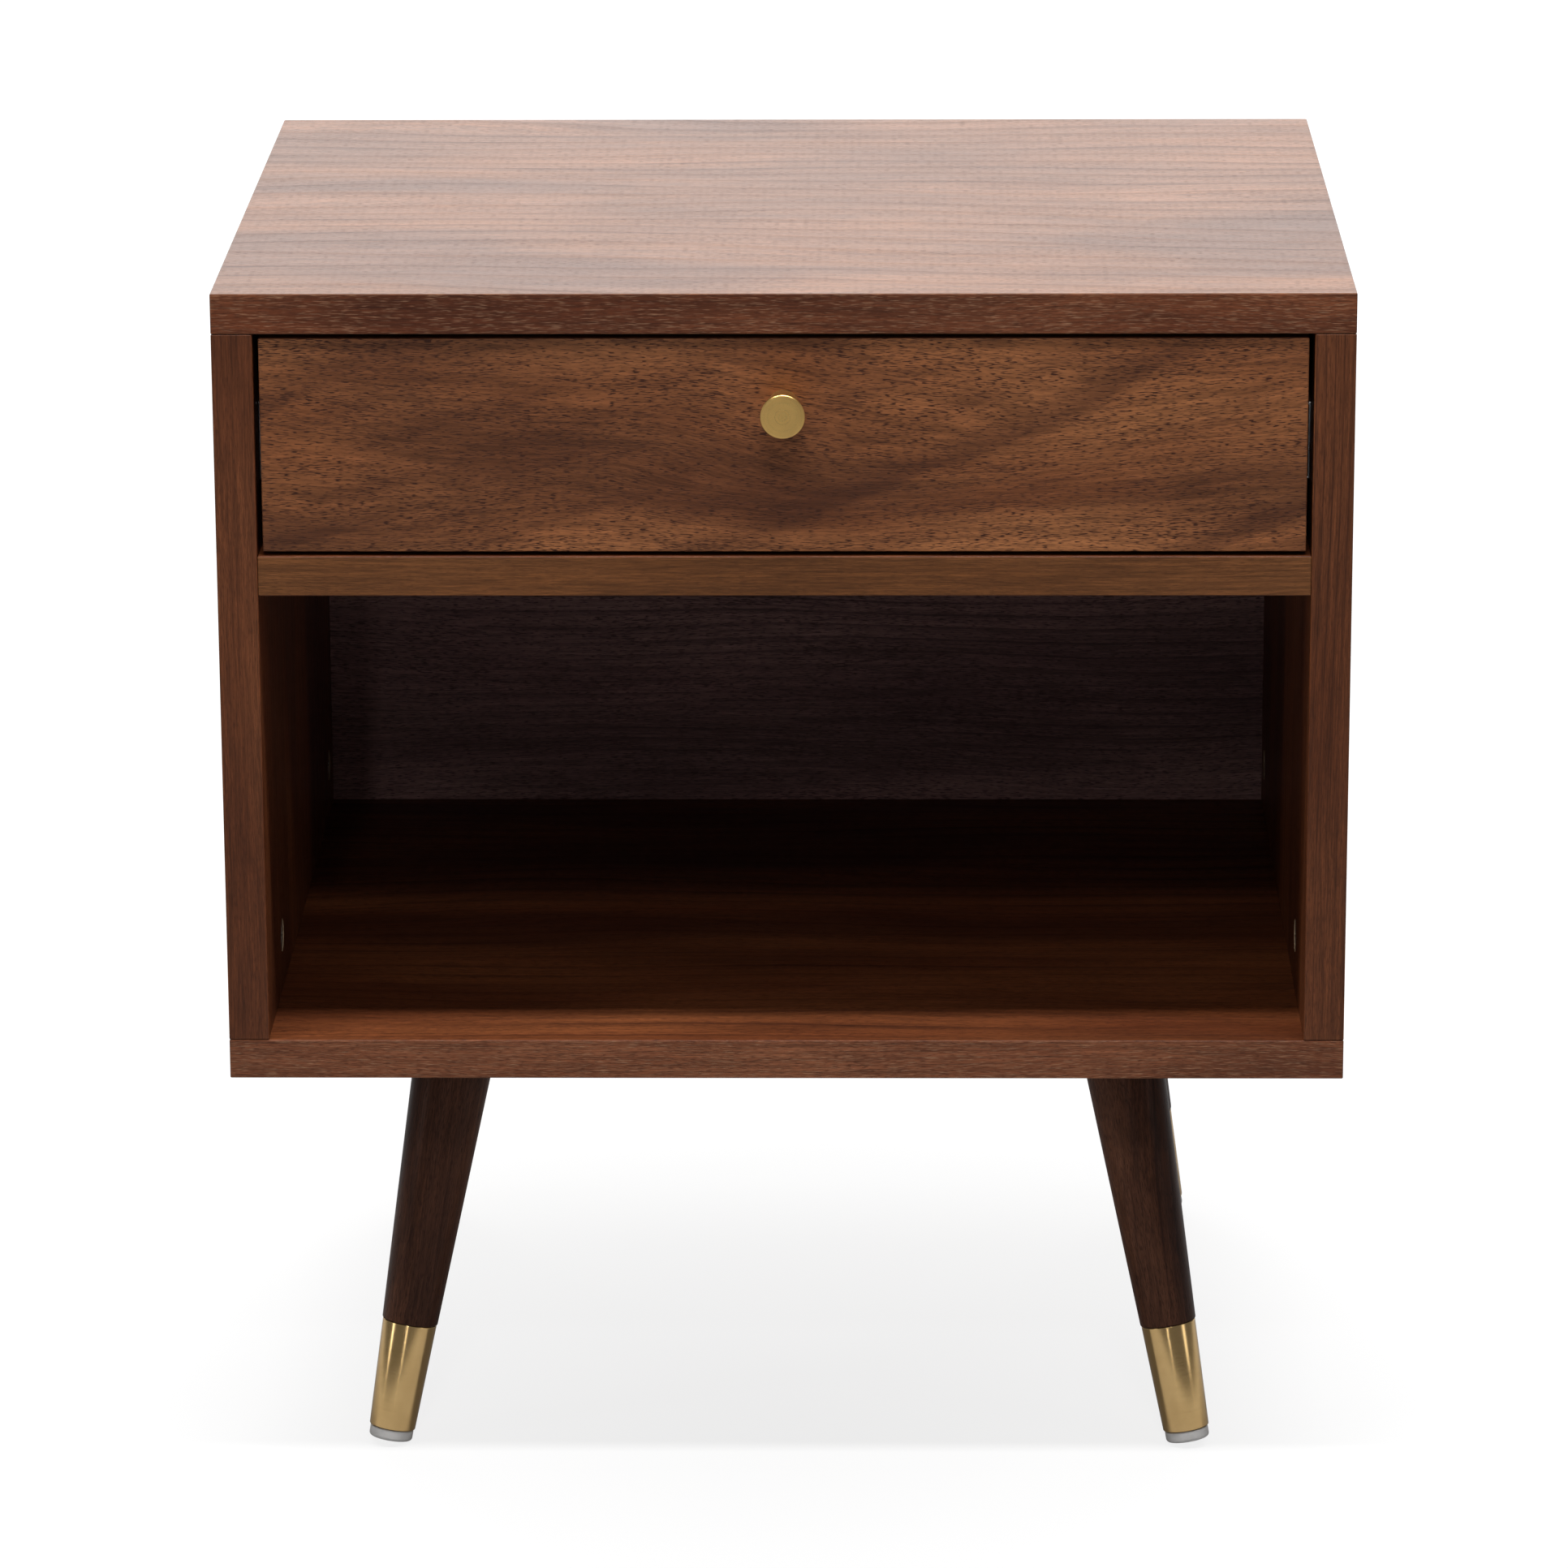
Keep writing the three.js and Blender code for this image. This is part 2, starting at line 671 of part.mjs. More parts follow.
export default nightstand;
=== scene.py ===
import math

import bmesh
import bpy
from mathutils import Matrix, Vector


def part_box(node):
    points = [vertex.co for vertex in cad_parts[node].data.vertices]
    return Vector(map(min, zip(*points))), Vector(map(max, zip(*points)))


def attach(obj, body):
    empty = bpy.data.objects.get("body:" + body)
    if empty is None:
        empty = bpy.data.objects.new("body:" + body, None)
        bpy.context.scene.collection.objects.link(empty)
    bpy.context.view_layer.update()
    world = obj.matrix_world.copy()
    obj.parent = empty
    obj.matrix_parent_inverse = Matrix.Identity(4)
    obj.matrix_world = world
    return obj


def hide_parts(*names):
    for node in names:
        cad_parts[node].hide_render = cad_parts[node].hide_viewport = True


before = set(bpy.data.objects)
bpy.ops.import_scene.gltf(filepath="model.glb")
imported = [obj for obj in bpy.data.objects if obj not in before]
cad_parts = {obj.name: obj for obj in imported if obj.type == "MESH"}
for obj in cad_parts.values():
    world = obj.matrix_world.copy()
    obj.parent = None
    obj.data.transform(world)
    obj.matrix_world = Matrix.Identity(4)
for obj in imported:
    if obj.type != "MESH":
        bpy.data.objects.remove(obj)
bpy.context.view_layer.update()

# ---- Studio ----
# A white paper floor under an overhead softbox and a long key lamp, with a bright wall behind, a
# small fill in front and narrow strips beside. The camera is three metres off and looks down. Seen
# by the camera, the paper also has a little painted glow of its own, weaker near the table as a painted
# soft shadow round it.
camera_place = Vector((0.048, -3.233, 1.213))
camera_turn = math.radians(0.91)
camera_pitch = math.radians(-16.21)
camera_roll = math.radians(-0.24)
camera_lens = 164
sensor_width = 36
floor_size = 16
floor_colour = (0.36, 0.36, 0.36, 1)
seen_floor_colour = (0.12, 0.12, 0.12, 1)
# The paper's painted glow is weaker within this radius of a point near the table's front: a painted soft
# shadow.
painted_shadow_offset = (0, 0.17, 0)
painted_shadow_radius = 0.8
painted_glow_near_table = 0.795
painted_glow_far = 1.0
surround_strength = 0.16

scene = bpy.context.scene
scene.view_settings.view_transform = "Standard"


def node(tree, kind, inputs=None, **settings):
    """Adds a node, sets its settings, and fills its inputs with values or other nodes' outputs."""
    made = tree.nodes.new(kind)
    for name, value in settings.items():
        setattr(made, name, value)
    for socket, value in (inputs or {}).items():
        if isinstance(value, bpy.types.NodeSocket):
            tree.links.new(value, made.inputs[socket])
        else:
            made.inputs[socket].default_value = value
    return made


def mesh_object(name, vertices, faces, edges=()):
    """A new object at the origin with the given mesh."""
    mesh = bpy.data.meshes.new(name)
    mesh.from_pydata(vertices, edges, faces)
    made = bpy.data.objects.new(name, mesh)
    scene.collection.objects.link(made)
    return made


def object_place(tree):
    """A point's place on its own piece, in metres."""
    return node(tree, "ShaderNodeTexCoord").outputs["Object"]


camera_data = bpy.data.cameras.new("camera")
camera_data.lens = camera_lens
camera_data.sensor_width = sensor_width
camera = bpy.data.objects.new("camera", camera_data)
camera.location = camera_place
camera.rotation_euler = (
    Matrix.Rotation(camera_turn, 3, "Z")
    @ Matrix.Rotation(math.pi / 2 + camera_pitch, 3, "X")
    @ Matrix.Rotation(camera_roll, 3, "Z")
).to_euler()
scene.collection.objects.link(camera)
scene.camera = camera

reach = floor_size / 2
floor_corners = [(-reach, -reach, 0), (reach, -reach, 0), (reach, reach, 0), (-reach, reach, 0)]
floor = mesh_object("floor", floor_corners, [(0, 1, 2, 3)])
paper = bpy.data.materials.new("floor paper")
paper.use_nodes = True
paper_tree = paper.node_tree
paper_tree.nodes.clear()
# Camera rays see a painted glow over a faint diffuse, dimmer near the table: the painted soft shadow under
# the table.
from_painted_shadow = node(
    paper_tree, "ShaderNodeVectorMath", {0: object_place(paper_tree), 1: painted_shadow_offset}, operation="ADD"
).outputs[0]
far_off = node(paper_tree, "ShaderNodeVectorMath", {0: from_painted_shadow}, operation="LENGTH").outputs["Value"]
painted_glow = node(
    paper_tree,
    "ShaderNodeMapRange",
    {"Value": far_off, "From Max": painted_shadow_radius, "To Min": painted_glow_near_table, "To Max": painted_glow_far},
    interpolation_type="SMOOTHSTEP",
)
paper_with_painted_glow = node(
    paper_tree,
    "ShaderNodeAddShader",
    {
        0: node(paper_tree, "ShaderNodeBsdfDiffuse", {"Color": seen_floor_colour}).outputs[0],
        1: node(paper_tree, "ShaderNodeEmission", {"Strength": painted_glow.outputs[0]}).outputs[0],
    },
)
paper_face = node(
    paper_tree,
    "ShaderNodeMixShader",
    {
        0: node(paper_tree, "ShaderNodeLightPath").outputs["Is Camera Ray"],
        1: node(paper_tree, "ShaderNodeBsdfDiffuse", {"Color": floor_colour}).outputs[0],
        2: paper_with_painted_glow.outputs[0],
    },
)
paper_sides = node(
    paper_tree,
    "ShaderNodeMixShader",
    {
        0: node(paper_tree, "ShaderNodeNewGeometry").outputs["Backfacing"],
        1: paper_face.outputs[0],
        2: node(paper_tree, "ShaderNodeBsdfTransparent").outputs[0],
    },
)
node(paper_tree, "ShaderNodeOutputMaterial", {"Surface": paper_sides.outputs[0]})
floor.data.materials.append(paper)


def softbox(name, place, aim, width, height, power):
    """A rectangular light at place that faces aim and stays out of the picture."""
    light = bpy.data.lights.new(name, "AREA")
    light.shape = "RECTANGLE"
    light.size = width
    light.size_y = height
    light.energy = power
    lamp = bpy.data.objects.new(name, light)
    lamp.location = place
    lamp.rotation_euler = (Vector(aim) - Vector(place)).to_track_quat("-Z", "Y").to_euler()
    lamp.visible_camera = False
    scene.collection.objects.link(lamp)


softbox("overhead softbox", (0.0, 0.55, 2.6), (0, 0.25, 0.4), width=2.4, height=1.6, power=32)
softbox("key lamp", (0.0, -0.60, 2.6), (0, -0.1, 0.4), width=2.4, height=0.16, power=88)
softbox("front fill", (0.05, -3.3, 3.3), (0, 0, 0.3), width=0.4, height=0.3, power=27)
softbox("front strip", (-0.4, -3.5, 1.3), (0, 0, 0.4), width=0.08, height=2.4, power=5)
softbox("rear wall", (0, 3.6, 1.75), (0, 0, 0.9), width=5.6, height=2.5, power=118)
softbox("left strip", (-2.6, -1.2, 1.0), (0, 0, 0.3), width=0.3, height=1.6, power=6)
softbox("right strip", (2.6, -1.4, 1.0), (0, 0, 0.3), width=0.6, height=1.6, power=5)

surround = bpy.data.worlds.new("studio")
scene.world = surround
surround.use_nodes = True
surround_tree = surround.node_tree
surround_tree.nodes.clear()
white_behind = node(surround_tree, "ShaderNodeBackground", {"Color": (1, 1, 1, 1), "Strength": 1.0})
dim_around = node(
    surround_tree, "ShaderNodeBackground", {"Color": (1, 1, 1, 1), "Strength": surround_strength}
)
surround_mix = node(
    surround_tree,
    "ShaderNodeMixShader",
    {
        0: node(surround_tree, "ShaderNodeLightPath").outputs["Is Camera Ray"],
        1: dim_around.outputs[0],
        2: white_behind.outputs[0],
    },
)
node(surround_tree, "ShaderNodeOutputWorld", {"Surface": surround_mix.outputs[0]})

# ---- Top panel ----
# An 18 mm particle board with walnut veneer on both faces and a thin walnut band glued round its
# edges, sanded to a small arris. Cam bolts and a groove for the back panel are cut in its underside.
arris = 0.0006
arris_steps = 3
crisp_angle = math.radians(40)
bore_depth_share = 0.8
face_tilt = 0.6
cutting_allowance = 1.0001
veneer_roughness = 0.4
wood_shine = 0.17

MM = 0.001
pore_depth = 0.04 * MM


def maths(tree, operation, *values):
    """The output of a maths node on one, two or three values."""
    return node(tree, "ShaderNodeMath", dict(enumerate(values)), operation=operation).outputs[0]


def stretched_noise(tree, place, scales, detail=2.0, roughness=0.5):
    """Noise with its own scale along X, Y and Z, in cells a metre."""
    stretched = node(
        tree, "ShaderNodeVectorMath", {0: place, 1: scales}, operation="MULTIPLY"
    ).outputs[0]
    return node(
        tree,
        "ShaderNodeTexNoise",
        {"Vector": stretched, "Scale": 1.0, "Detail": detail, "Roughness": roughness},
    ).outputs["Fac"]


def ranged(tree, value, low, high, new_low, new_high):
    """value with low to high turned into new_low to new_high, and held there."""
    return node(
        tree,
        "ShaderNodeMapRange",
        {"Value": value, "From Min": low, "From Max": high, "To Min": new_low, "To Max": new_high},
    ).outputs[0]


def blended(tree, share, first, second):
    """first with share of second laid over it."""
    mix = node(tree, "ShaderNodeMix", data_type="RGBA")
    for socket, value in ((mix.inputs[0], share), (mix.inputs[6], first), (mix.inputs[7], second)):
        if isinstance(value, bpy.types.NodeSocket):
            tree.links.new(value, socket)
        else:
            socket.default_value = value
    return mix.outputs[2]


def scaled(tree, colour, factor):
    """A colour made lighter or darker by a factor."""
    return node(tree, "ShaderNodeVectorMath", {0: colour, "Scale": factor}, operation="SCALE").outputs[0]


def new_tree(name, kind, takes, gives):
    """A node tree with named inputs and outputs, and the sockets that bring its inputs."""
    tree = bpy.data.node_groups.new(name, kind)
    for way, sockets in (("INPUT", takes), ("OUTPUT", gives)):
        for socket, holds in sockets.items():
            tree.interface.new_socket(socket, in_out=way, socket_type="NodeSocket" + holds)
    return tree, node(tree, "NodeGroupInput").outputs


def slope_length(tree, first, second):
    """The distance over two sides that are square to each other."""
    squares = [maths(tree, "MULTIPLY", side, side) for side in (first, second)]
    return maths(tree, "SQRT", maths(tree, "ADD", *squares))


def wood_group():
    """The figure of a board: X runs along the grain, Y across it and Z through it, in metres."""
    takes = {"Place": "Vector", "Dark": "Color", "Middle": "Color", "Light": "Color"}
    for share in ("Rings", "Wander", "Heart", "Slope", "Pores", "Filled"):
        takes[share] = "Float"
    tree, given = new_tree("wood figure", "ShaderNodeTree", takes, {"Colour": "Color", "Height": "Float"})
    place = given["Place"]
    parts = node(tree, "ShaderNodeSeparateXYZ", {0: place}).outputs

    slow = maths(tree, "SUBTRACT", stretched_noise(tree, place, (2.8, 9, 9), 1.0), 0.5)
    middling = maths(tree, "SUBTRACT", stretched_noise(tree, place, (6, 30, 30), 1.0), 0.5)
    quick = maths(tree, "SUBTRACT", stretched_noise(tree, place, (45, 110, 110), 1.0), 0.5)
    wander = maths(tree, "MULTIPLY_ADD", middling, 0.016, maths(tree, "MULTIPLY", slow, 0.09))
    wander = maths(tree, "MULTIPLY_ADD", quick, 0.0022, wander)
    across = maths(tree, "MULTIPLY_ADD", wander, given["Wander"], parts["Y"])
    flow = node(tree, "ShaderNodeCombineXYZ", {"X": parts["X"], "Y": across, "Z": parts["Z"]}).outputs[0]
    depth = maths(tree, "MULTIPLY_ADD", parts["X"], given["Slope"], given["Heart"])
    depth = maths(tree, "MULTIPLY_ADD", slow, maths(tree, "MULTIPLY", given["Slope"], 0.35), depth)
    radius = slope_length(tree, across, depth)

    def growth(rings_a_metre, dips):
        """Growth rings: a slow rise to a dark line, then a sharp fall."""
        ring = maths(tree, "FRACT", maths(tree, "MULTIPLY", radius, rings_a_metre))
        shape = node(tree, "ShaderNodeFloatCurve", {"Value": ring})
        curve = shape.mapping.curves[0]
        curve.points[0].location = (0.0, 0.5)
        curve.points[1].location = (1.0, 0.5)
        for x, y in dips:
            curve.points.new(x, y)
        shape.mapping.update()
        return shape.outputs[0]

    late = growth(given["Rings"], ((0.07, 0.1), (0.5, 0.14), (0.82, 0.45), (0.95, 1.0)))
    fine_late = growth(maths(tree, "MULTIPLY", given["Rings"], 3.3), ((0.2, 0.1), (0.6, 0.3), (0.85, 0.9)))
    patches = stretched_noise(tree, flow, (4.5, 22, 22), 2.0, 0.5)
    colour = blended(tree, ranged(tree, patches, 0.34, 0.66, 0, 1), given["Middle"], given["Light"])
    share = ranged(tree, stretched_noise(tree, flow, (4, 26, 26), 1.0), 0.42, 0.64, 0.05, 0.62)
    colour = blended(tree, maths(tree, "MULTIPLY", late, share), colour, given["Dark"])
    warmth = stretched_noise(tree, flow, (9, 75, 75), 2.0, 0.5)
    share = ranged(tree, warmth, 0.4, 0.62, 0.03, 0.34)
    colour = blended(tree, maths(tree, "MULTIPLY", fine_late, share), colour, given["Dark"])
    shadow = ranged(tree, stretched_noise(tree, flow, (3.2, 13, 13), 1.0), 0.5, 0.64, 0, 0.5)
    colour = blended(tree, shadow, colour, given["Dark"])

    strand = stretched_noise(tree, flow, (16, 420, 420), 3.0, 0.6)
    fibre = stretched_noise(tree, flow, (75, 1500, 1500), 3.0, 0.65)
    colour = scaled(tree, colour, ranged(tree, strand, 0.3, 0.7, 0.79, 1.23))
    colour = scaled(tree, colour, ranged(tree, fibre, 0.3, 0.7, 0.66, 1.34))
    calm = maths(tree, "MULTIPLY_ADD", wander, 0.35, parts["Y"])
    calm_flow = node(tree, "ShaderNodeCombineXYZ", {"X": parts["X"], "Y": calm, "Z": parts["Z"]}).outputs[0]
    dash = stretched_noise(tree, calm_flow, (300, 2700, 2700), 0.0, 0.0)
    crowd = ranged(tree, stretched_noise(tree, flow, (14, 90, 90), 2.0), 0.35, 0.65, 0.045, -0.045)
    pore = ranged(tree, maths(tree, "ADD", dash, crowd), 0.57, 0.68, 0, 1)
    pore = maths(tree, "MULTIPLY", pore, given["Pores"])
    colour = blended(tree, pore, colour, given["Dark"])
    filled = ranged(tree, stretched_noise(tree, calm_flow, (190, 3600, 3600), 1.0), 0.56, 0.74, 0, 1)
    colour = blended(tree, maths(tree, "MULTIPLY", filled, given["Filled"]), colour, (0.42, 0.24, 0.14, 1))
    late_dip = maths(tree, "MULTIPLY", late, 0.3)
    height = maths(tree, "SUBTRACT", maths(tree, "MULTIPLY", strand, 0.5), late_dip)
    height = maths(tree, "SUBTRACT", height, pore)
    node(tree, "NodeGroupOutput", {"Colour": colour, "Height": height})
    return tree


wood_figure = wood_group()


def grain_turn(along, across):
    """The turn that lays a board's length on a figure's X and its width on Y."""
    along, across = Vector(along), Vector(across)
    return Matrix((along, across, along.cross(across))).to_euler()


def shader(tree, **sockets):
    """A principled shader with its output, as the tree's surface. Spaces in names are underscores."""
    inputs = {name.replace("_", " "): value for name, value in sockets.items()}
    made = node(tree, "ShaderNodeBsdfPrincipled", inputs)
    node(tree, "ShaderNodeOutputMaterial", {"Surface": made.outputs[0]})
    return made


def bumped(tree, height, distance):
    """The normal of a surface raised by height times distance."""
    return node(
        tree, "ShaderNodeBump", {"Height": height, "Distance": distance, "Strength": 1.0}
    ).outputs[0]


def bare_material(name):
    """A new material with an empty tree, and the tree."""
    made = bpy.data.materials.new(name)
    made.use_nodes = True
    made.node_tree.nodes.clear()
    return made, made.node_tree


def wood(name, along, across, shift, dark, middle, light, rings=90.0, wander=1.0, heart=0.0, slope=0.0,
         pores=0.8, light_pores=0.0, roughness=veneer_roughness, shine=wood_shine):
    """A lacquered wood. shift moves the figure, so that no two boards come from one leaf."""
    made, tree = bare_material(name)
    mapping = node(
        tree,
        "ShaderNodeMapping",
        {
            "Vector": object_place(tree),
            "Rotation": grain_turn(along, across),
            "Location": shift,
        },
    )
    figure = node(tree, "ShaderNodeGroup", node_tree=wood_figure)
    tree.links.new(mapping.outputs[0], figure.inputs["Place"])
    for socket, value in (
        ("Dark", (*dark, 1)),
        ("Middle", (*middle, 1)),
        ("Light", (*light, 1)),
        ("Rings", rings),
        ("Wander", wander),
        ("Heart", heart),
        ("Slope", slope),
        ("Pores", pores),
        ("Filled", light_pores),
    ):
        figure.inputs[socket].default_value = value
    shader(
        tree,
        Specular_IOR_Level=shine,
        Base_Color=figure.outputs["Colour"],
        Roughness=ranged(tree, figure.outputs["Height"], -0.8, 0.3, roughness + 0.14, roughness - 0.02),
        Normal=bumped(tree, figure.outputs["Height"], pore_depth),
    )
    return made


def core_material():
    """Raw particle board, seen only in bores and grooves."""
    made, tree = bare_material("particle board")
    place = object_place(tree)
    chips = node(tree, "ShaderNodeTexVoronoi", {"Vector": place, "Scale": 700.0}).outputs["Color"]
    grey = node(tree, "ShaderNodeRGBToBW", {0: chips}).outputs[0]
    colour = blended(tree, grey, (0.36, 0.24, 0.14, 1), (0.55, 0.41, 0.26, 1))
    shader(tree, Base_Color=colour, Roughness=0.85, Normal=bumped(tree, grey, 0.0003))
    return made


board_core = core_material()


def merged_copy(source, name):
    """A CAD node's shape as a new object, with its loose triangles joined."""
    made = bpy.data.objects.new(name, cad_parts[source].data.copy())
    scene.collection.objects.link(made)
    made.data.materials.clear()
    shape = bmesh.new()
    shape.from_mesh(made.data)
    bmesh.ops.remove_doubles(shape, verts=shape.verts, dist=2e-6)
    shape.to_mesh(made.data)
    shape.free()
    return made


def made_plain(piece):
    """Turns a piece's modifiers into plain mesh."""
    depsgraph = bpy.context.evaluated_depsgraph_get()
    mesh = bpy.data.meshes.new_from_object(piece.evaluated_get(depsgraph))
    piece.modifiers.clear()
    piece.data = mesh
    return piece


def cut_with(piece, tool, step, operation="DIFFERENCE", crossing=False):
    """Cuts a piece with a tool object, which is then thrown away."""
    cut = piece.modifiers.new(step, "BOOLEAN")
    cut.operation = operation
    cut.solver = "EXACT"
    cut.use_self = crossing
    cut.object = tool
    made_plain(piece)
    bpy.data.objects.remove(tool)


def board(source, name, face_finish, band_finish, flat_axis, edge=arris, other_face=None):
    """A board with rounded arrises, cut to its CAD node's bores and grooves, veneer on its two faces
    and bands on its edges.

    flat_axis is the axis that its faces look along. other_face is the finish of the face at the
    low end of that axis, where it isn't the same."""
    low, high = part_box(source)
    corners = [(x, y, z) for x in (low.x, high.x) for y in (low.y, high.y) for z in (low.z, high.z)]
    sides = [(0, 1, 3, 2), (4, 6, 7, 5), (0, 4, 5, 1), (2, 3, 7, 6), (0, 2, 6, 4), (1, 5, 7, 3)]
    piece = mesh_object(name, corners, sides)
    for finish in (face_finish, band_finish, board_core, other_face or face_finish):
        piece.data.materials.append(finish)
    rounding = piece.modifiers.new("arris", "BEVEL")
    rounding.width = edge
    rounding.segments = arris_steps
    shape = merged_copy(source, "shape to cut to")
    middle = (low + high) / 2
    for vertex in shape.data.vertices:
        vertex.co = middle + (vertex.co - middle) * cutting_allowance
    cut_with(piece, shape, "bores and grooves", "INTERSECT")

    piece.data.set_sharp_from_angle(angle=crisp_angle)
    normals = [corner.vector.copy() for corner in piece.data.corner_normals]
    for face in piece.data.polygons:
        face.use_smooth = True
        points = [piece.data.vertices[v].co for v in face.vertices]
        insides = [
            Vector(min(max(point[i], low[i] + edge), high[i] - edge) for i in range(3)) for point in points
        ]
        outwards = [point - inside for point, inside in zip(points, insides)]
        if min(way.length for way in outwards) < bore_depth_share * edge:
            face.material_index = 2
            continue
        if abs(face.normal[flat_axis]) < face_tilt:
            face.material_index = 1
        else:
            face.material_index = 0 if face.normal[flat_axis] > 0 else 3
        for corner, way in zip(face.loop_indices, outwards):
            normals[corner] = way.normalized()
    piece.data.normals_split_custom_set(normals)
    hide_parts(source)
    return piece


X, Y, Z = (1, 0, 0), (0, 1, 0), (0, 0, 1)
walnut_dark = (0.044, 0.014, 0.007)
walnut_middle = (0.172, 0.058, 0.021)
walnut_light = (0.295, 0.115, 0.043)
# The top's veneer is darker than the other walnut: painted shade that offsets the strong overhead light on
# the top.
top_shaded_middle = (0.098, 0.034, 0.010)
top_shaded_light = (0.158, 0.059, 0.019)
band_dark = (0.046, 0.012, 0.005)
band_middle = (0.120, 0.034, 0.013)
band_light = (0.205, 0.072, 0.032)

shaded_top_veneer = wood(
    "walnut veneer on the top, with painted shade", X, Y, (2.1, 0.31, 0.4), walnut_dark, top_shaded_middle, top_shaded_light,
    rings=60.0, wander=0.8, heart=0.03, slope=0.06, pores=0.6,
)
long_band = wood(
    "walnut band, long edges", X, Z, (5.3, 0.9, 1.7), band_dark, band_middle, band_light,
    rings=320.0, wander=0.15, pores=0.5, light_pores=0.45,
)
top = board("top_panel", "veneered_top", shaded_top_veneer, long_band, 2)
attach(top, "cabinet")

# ---- Bottom panel ----
# The same board as the top panel, its veneer inside the compartment darkened as painted shade. The leg
# plates are screwed to its underside, and its front edge shows as the lower rail of the cabinet.
# The veneer inside the compartment is darker than the outside walnut: painted shade where little light
# reaches.
shaded_inside_dark = (0.024, 0.006, 0.003)
shaded_inside_middle = (0.112, 0.030, 0.010)
shaded_inside_light = (0.175, 0.054, 0.018)
shaded_floor_veneer = wood(
    "walnut veneer with painted shade, lying", X, Y, (7.7, 0.52, 0.1), shaded_inside_dark, shaded_inside_middle, shaded_inside_light,
    rings=70.0, wander=0.7, pores=0.5,
)
under_veneer = wood(
    "walnut veneer underneath", X, Y, (9.4, 0.7, 0.8), walnut_dark, walnut_middle, walnut_light,
    rings=60.0, wander=0.8, pores=0.5,
)
bottom = board(
    "bottom_panel", "veneered_bottom", shaded_floor_veneer, long_band, 2, other_face=under_veneer
)
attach(bottom, "cabinet")

# ---- Side panels ----
# Two upright boards between the top and the bottom, with the grain running up. Each holds four cam
# locks in bores in its inner face, two dowel holes and the back panel's groove.
side_veneer = wood(
    "walnut veneer, upright", Z, Y, (3.3, 0.27, 0.6), walnut_dark, walnut_middle, walnut_light,
    rings=70.0, wander=0.9, heart=0.02, slope=0.08, pores=0.6,
)
# The inner faces of the sides get the darker veneer: painted shade inside the compartment.
shaded_inside_veneer = wood(
    "walnut veneer with painted shade, upright", Z, Y, (6.2, 0.4, 0.2), shaded_inside_dark, shaded_inside_middle, shaded_inside_light,
    rings=70.0, wander=0.7, pores=0.5,
)
upright_dark = (0.036, 0.010, 0.004)
upright_middle = (0.086, 0.024, 0.008)
upright_light = (0.134, 0.043, 0.016)
upright_band = wood(
    "walnut band, upright edges", Z, X, (1.3, 0.5, 2.7), upright_dark, upright_middle, upright_light,
    rings=240.0, wander=0.2, pores=0.4,
)
left_side = board(
    "left_side_panel", "veneered_left_side", shaded_inside_veneer, upright_band, 0,
    other_face=side_veneer,
)
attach(left_side, "cabinet")
right_side = board(
    "right_side_panel", "veneered_right_side", side_veneer, upright_band, 0,
    other_face=shaded_inside_veneer,
)
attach(right_side, "cabinet")

# ---- Middle shelf ----
# A board between the sides, held by two dowels at each end. Its front edge is the rail between the
# drawer and the open compartment.
rail_dark = (0.060, 0.022, 0.007)
rail_middle = (0.130, 0.047, 0.014)
rail_light = (0.180, 0.070, 0.024)
rail_band = wood(
    "olive-brown band, shelf edge", X, Z, (3.9, 0.2, 1.1), rail_dark, rail_middle, rail_light,
    rings=380.0, wander=0.1, pores=0.4,
)
# Both faces of the shelf get the darker lying veneer: painted shade over the compartment and under the
# drawer.
shelf = board("middle_shelf", "veneered_shelf", shaded_floor_veneer, rail_band, 2)
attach(shelf, "cabinet")

# ---- Back panel ----
# A thin fibreboard with a straight-grained, purple-brown veneer, held in grooves in the four boards
# round it. Its rear face is sealed with a plainer, darker leaf.
back_dark = (0.065, 0.030, 0.031)
back_middle = (0.240, 0.125, 0.120)
back_light = (0.320, 0.180, 0.165)
rear_dark = (0.045, 0.022, 0.020)
rear_middle = (0.140, 0.072, 0.060)
rear_light = (0.200, 0.110, 0.090)
back_veneer = wood(
    "purple-brown back veneer", X, Z, (4.4, 0.8, 0.3), back_dark, back_middle, back_light,
    rings=150.0, wander=0.3, pores=0.8, roughness=0.5,
)
rear_veneer = wood(
    "plain leaf on the rear", X, Z, (8.4, 0.3, 0.6), rear_dark, rear_middle, rear_light,
    rings=110.0, wander=0.35, pores=0.6, roughness=0.5,
)
back = board(
    "back_panel", "veneered_back", rear_veneer, board_core, 1, edge=0.0003,
    other_face=back_veneer,
)
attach(back, "cabinet")

# ---- Drawer front ----
# An 18 mm veneered board, set in between the sides with an even dark gap, and cut across a wavy,
# crown-figured leaf of walnut.
front_veneer = wood(
    "figured walnut on the drawer", X, Z, (13.7, -0.61, 1.2), walnut_dark, walnut_middle, walnut_light,
    rings=85.0, wander=1.0, heart=0.02, slope=0.06, pores=1.0,
)
front = board("drawer_front", "veneered_drawer_front", front_veneer, long_band, 1)
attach(front, "drawer")

# ---- Knob ----
# A solid brass cone turned on a lathe, widening to a flat face with a fine brushed grain round its
# axis. A machine screw through the drawer front holds it.
knob_length = 24.5 * MM
knob_face_radius = 9.8 * MM
knob_base_radius = 6.6 * MM
knob_round = 0.7 * MM
knob_base_round = 0.3 * MM
screw_hole_radius = 2.3 * MM
screw_hole_depth = 12 * MM
turning_sides = 64
lathe_line_depth = 0.01 * MM
brass_colour = (0.72, 0.49, 0.22)
brass_tarnish = (0.46, 0.29, 0.11)
knob_colour = (0.72, 0.455, 0.15)


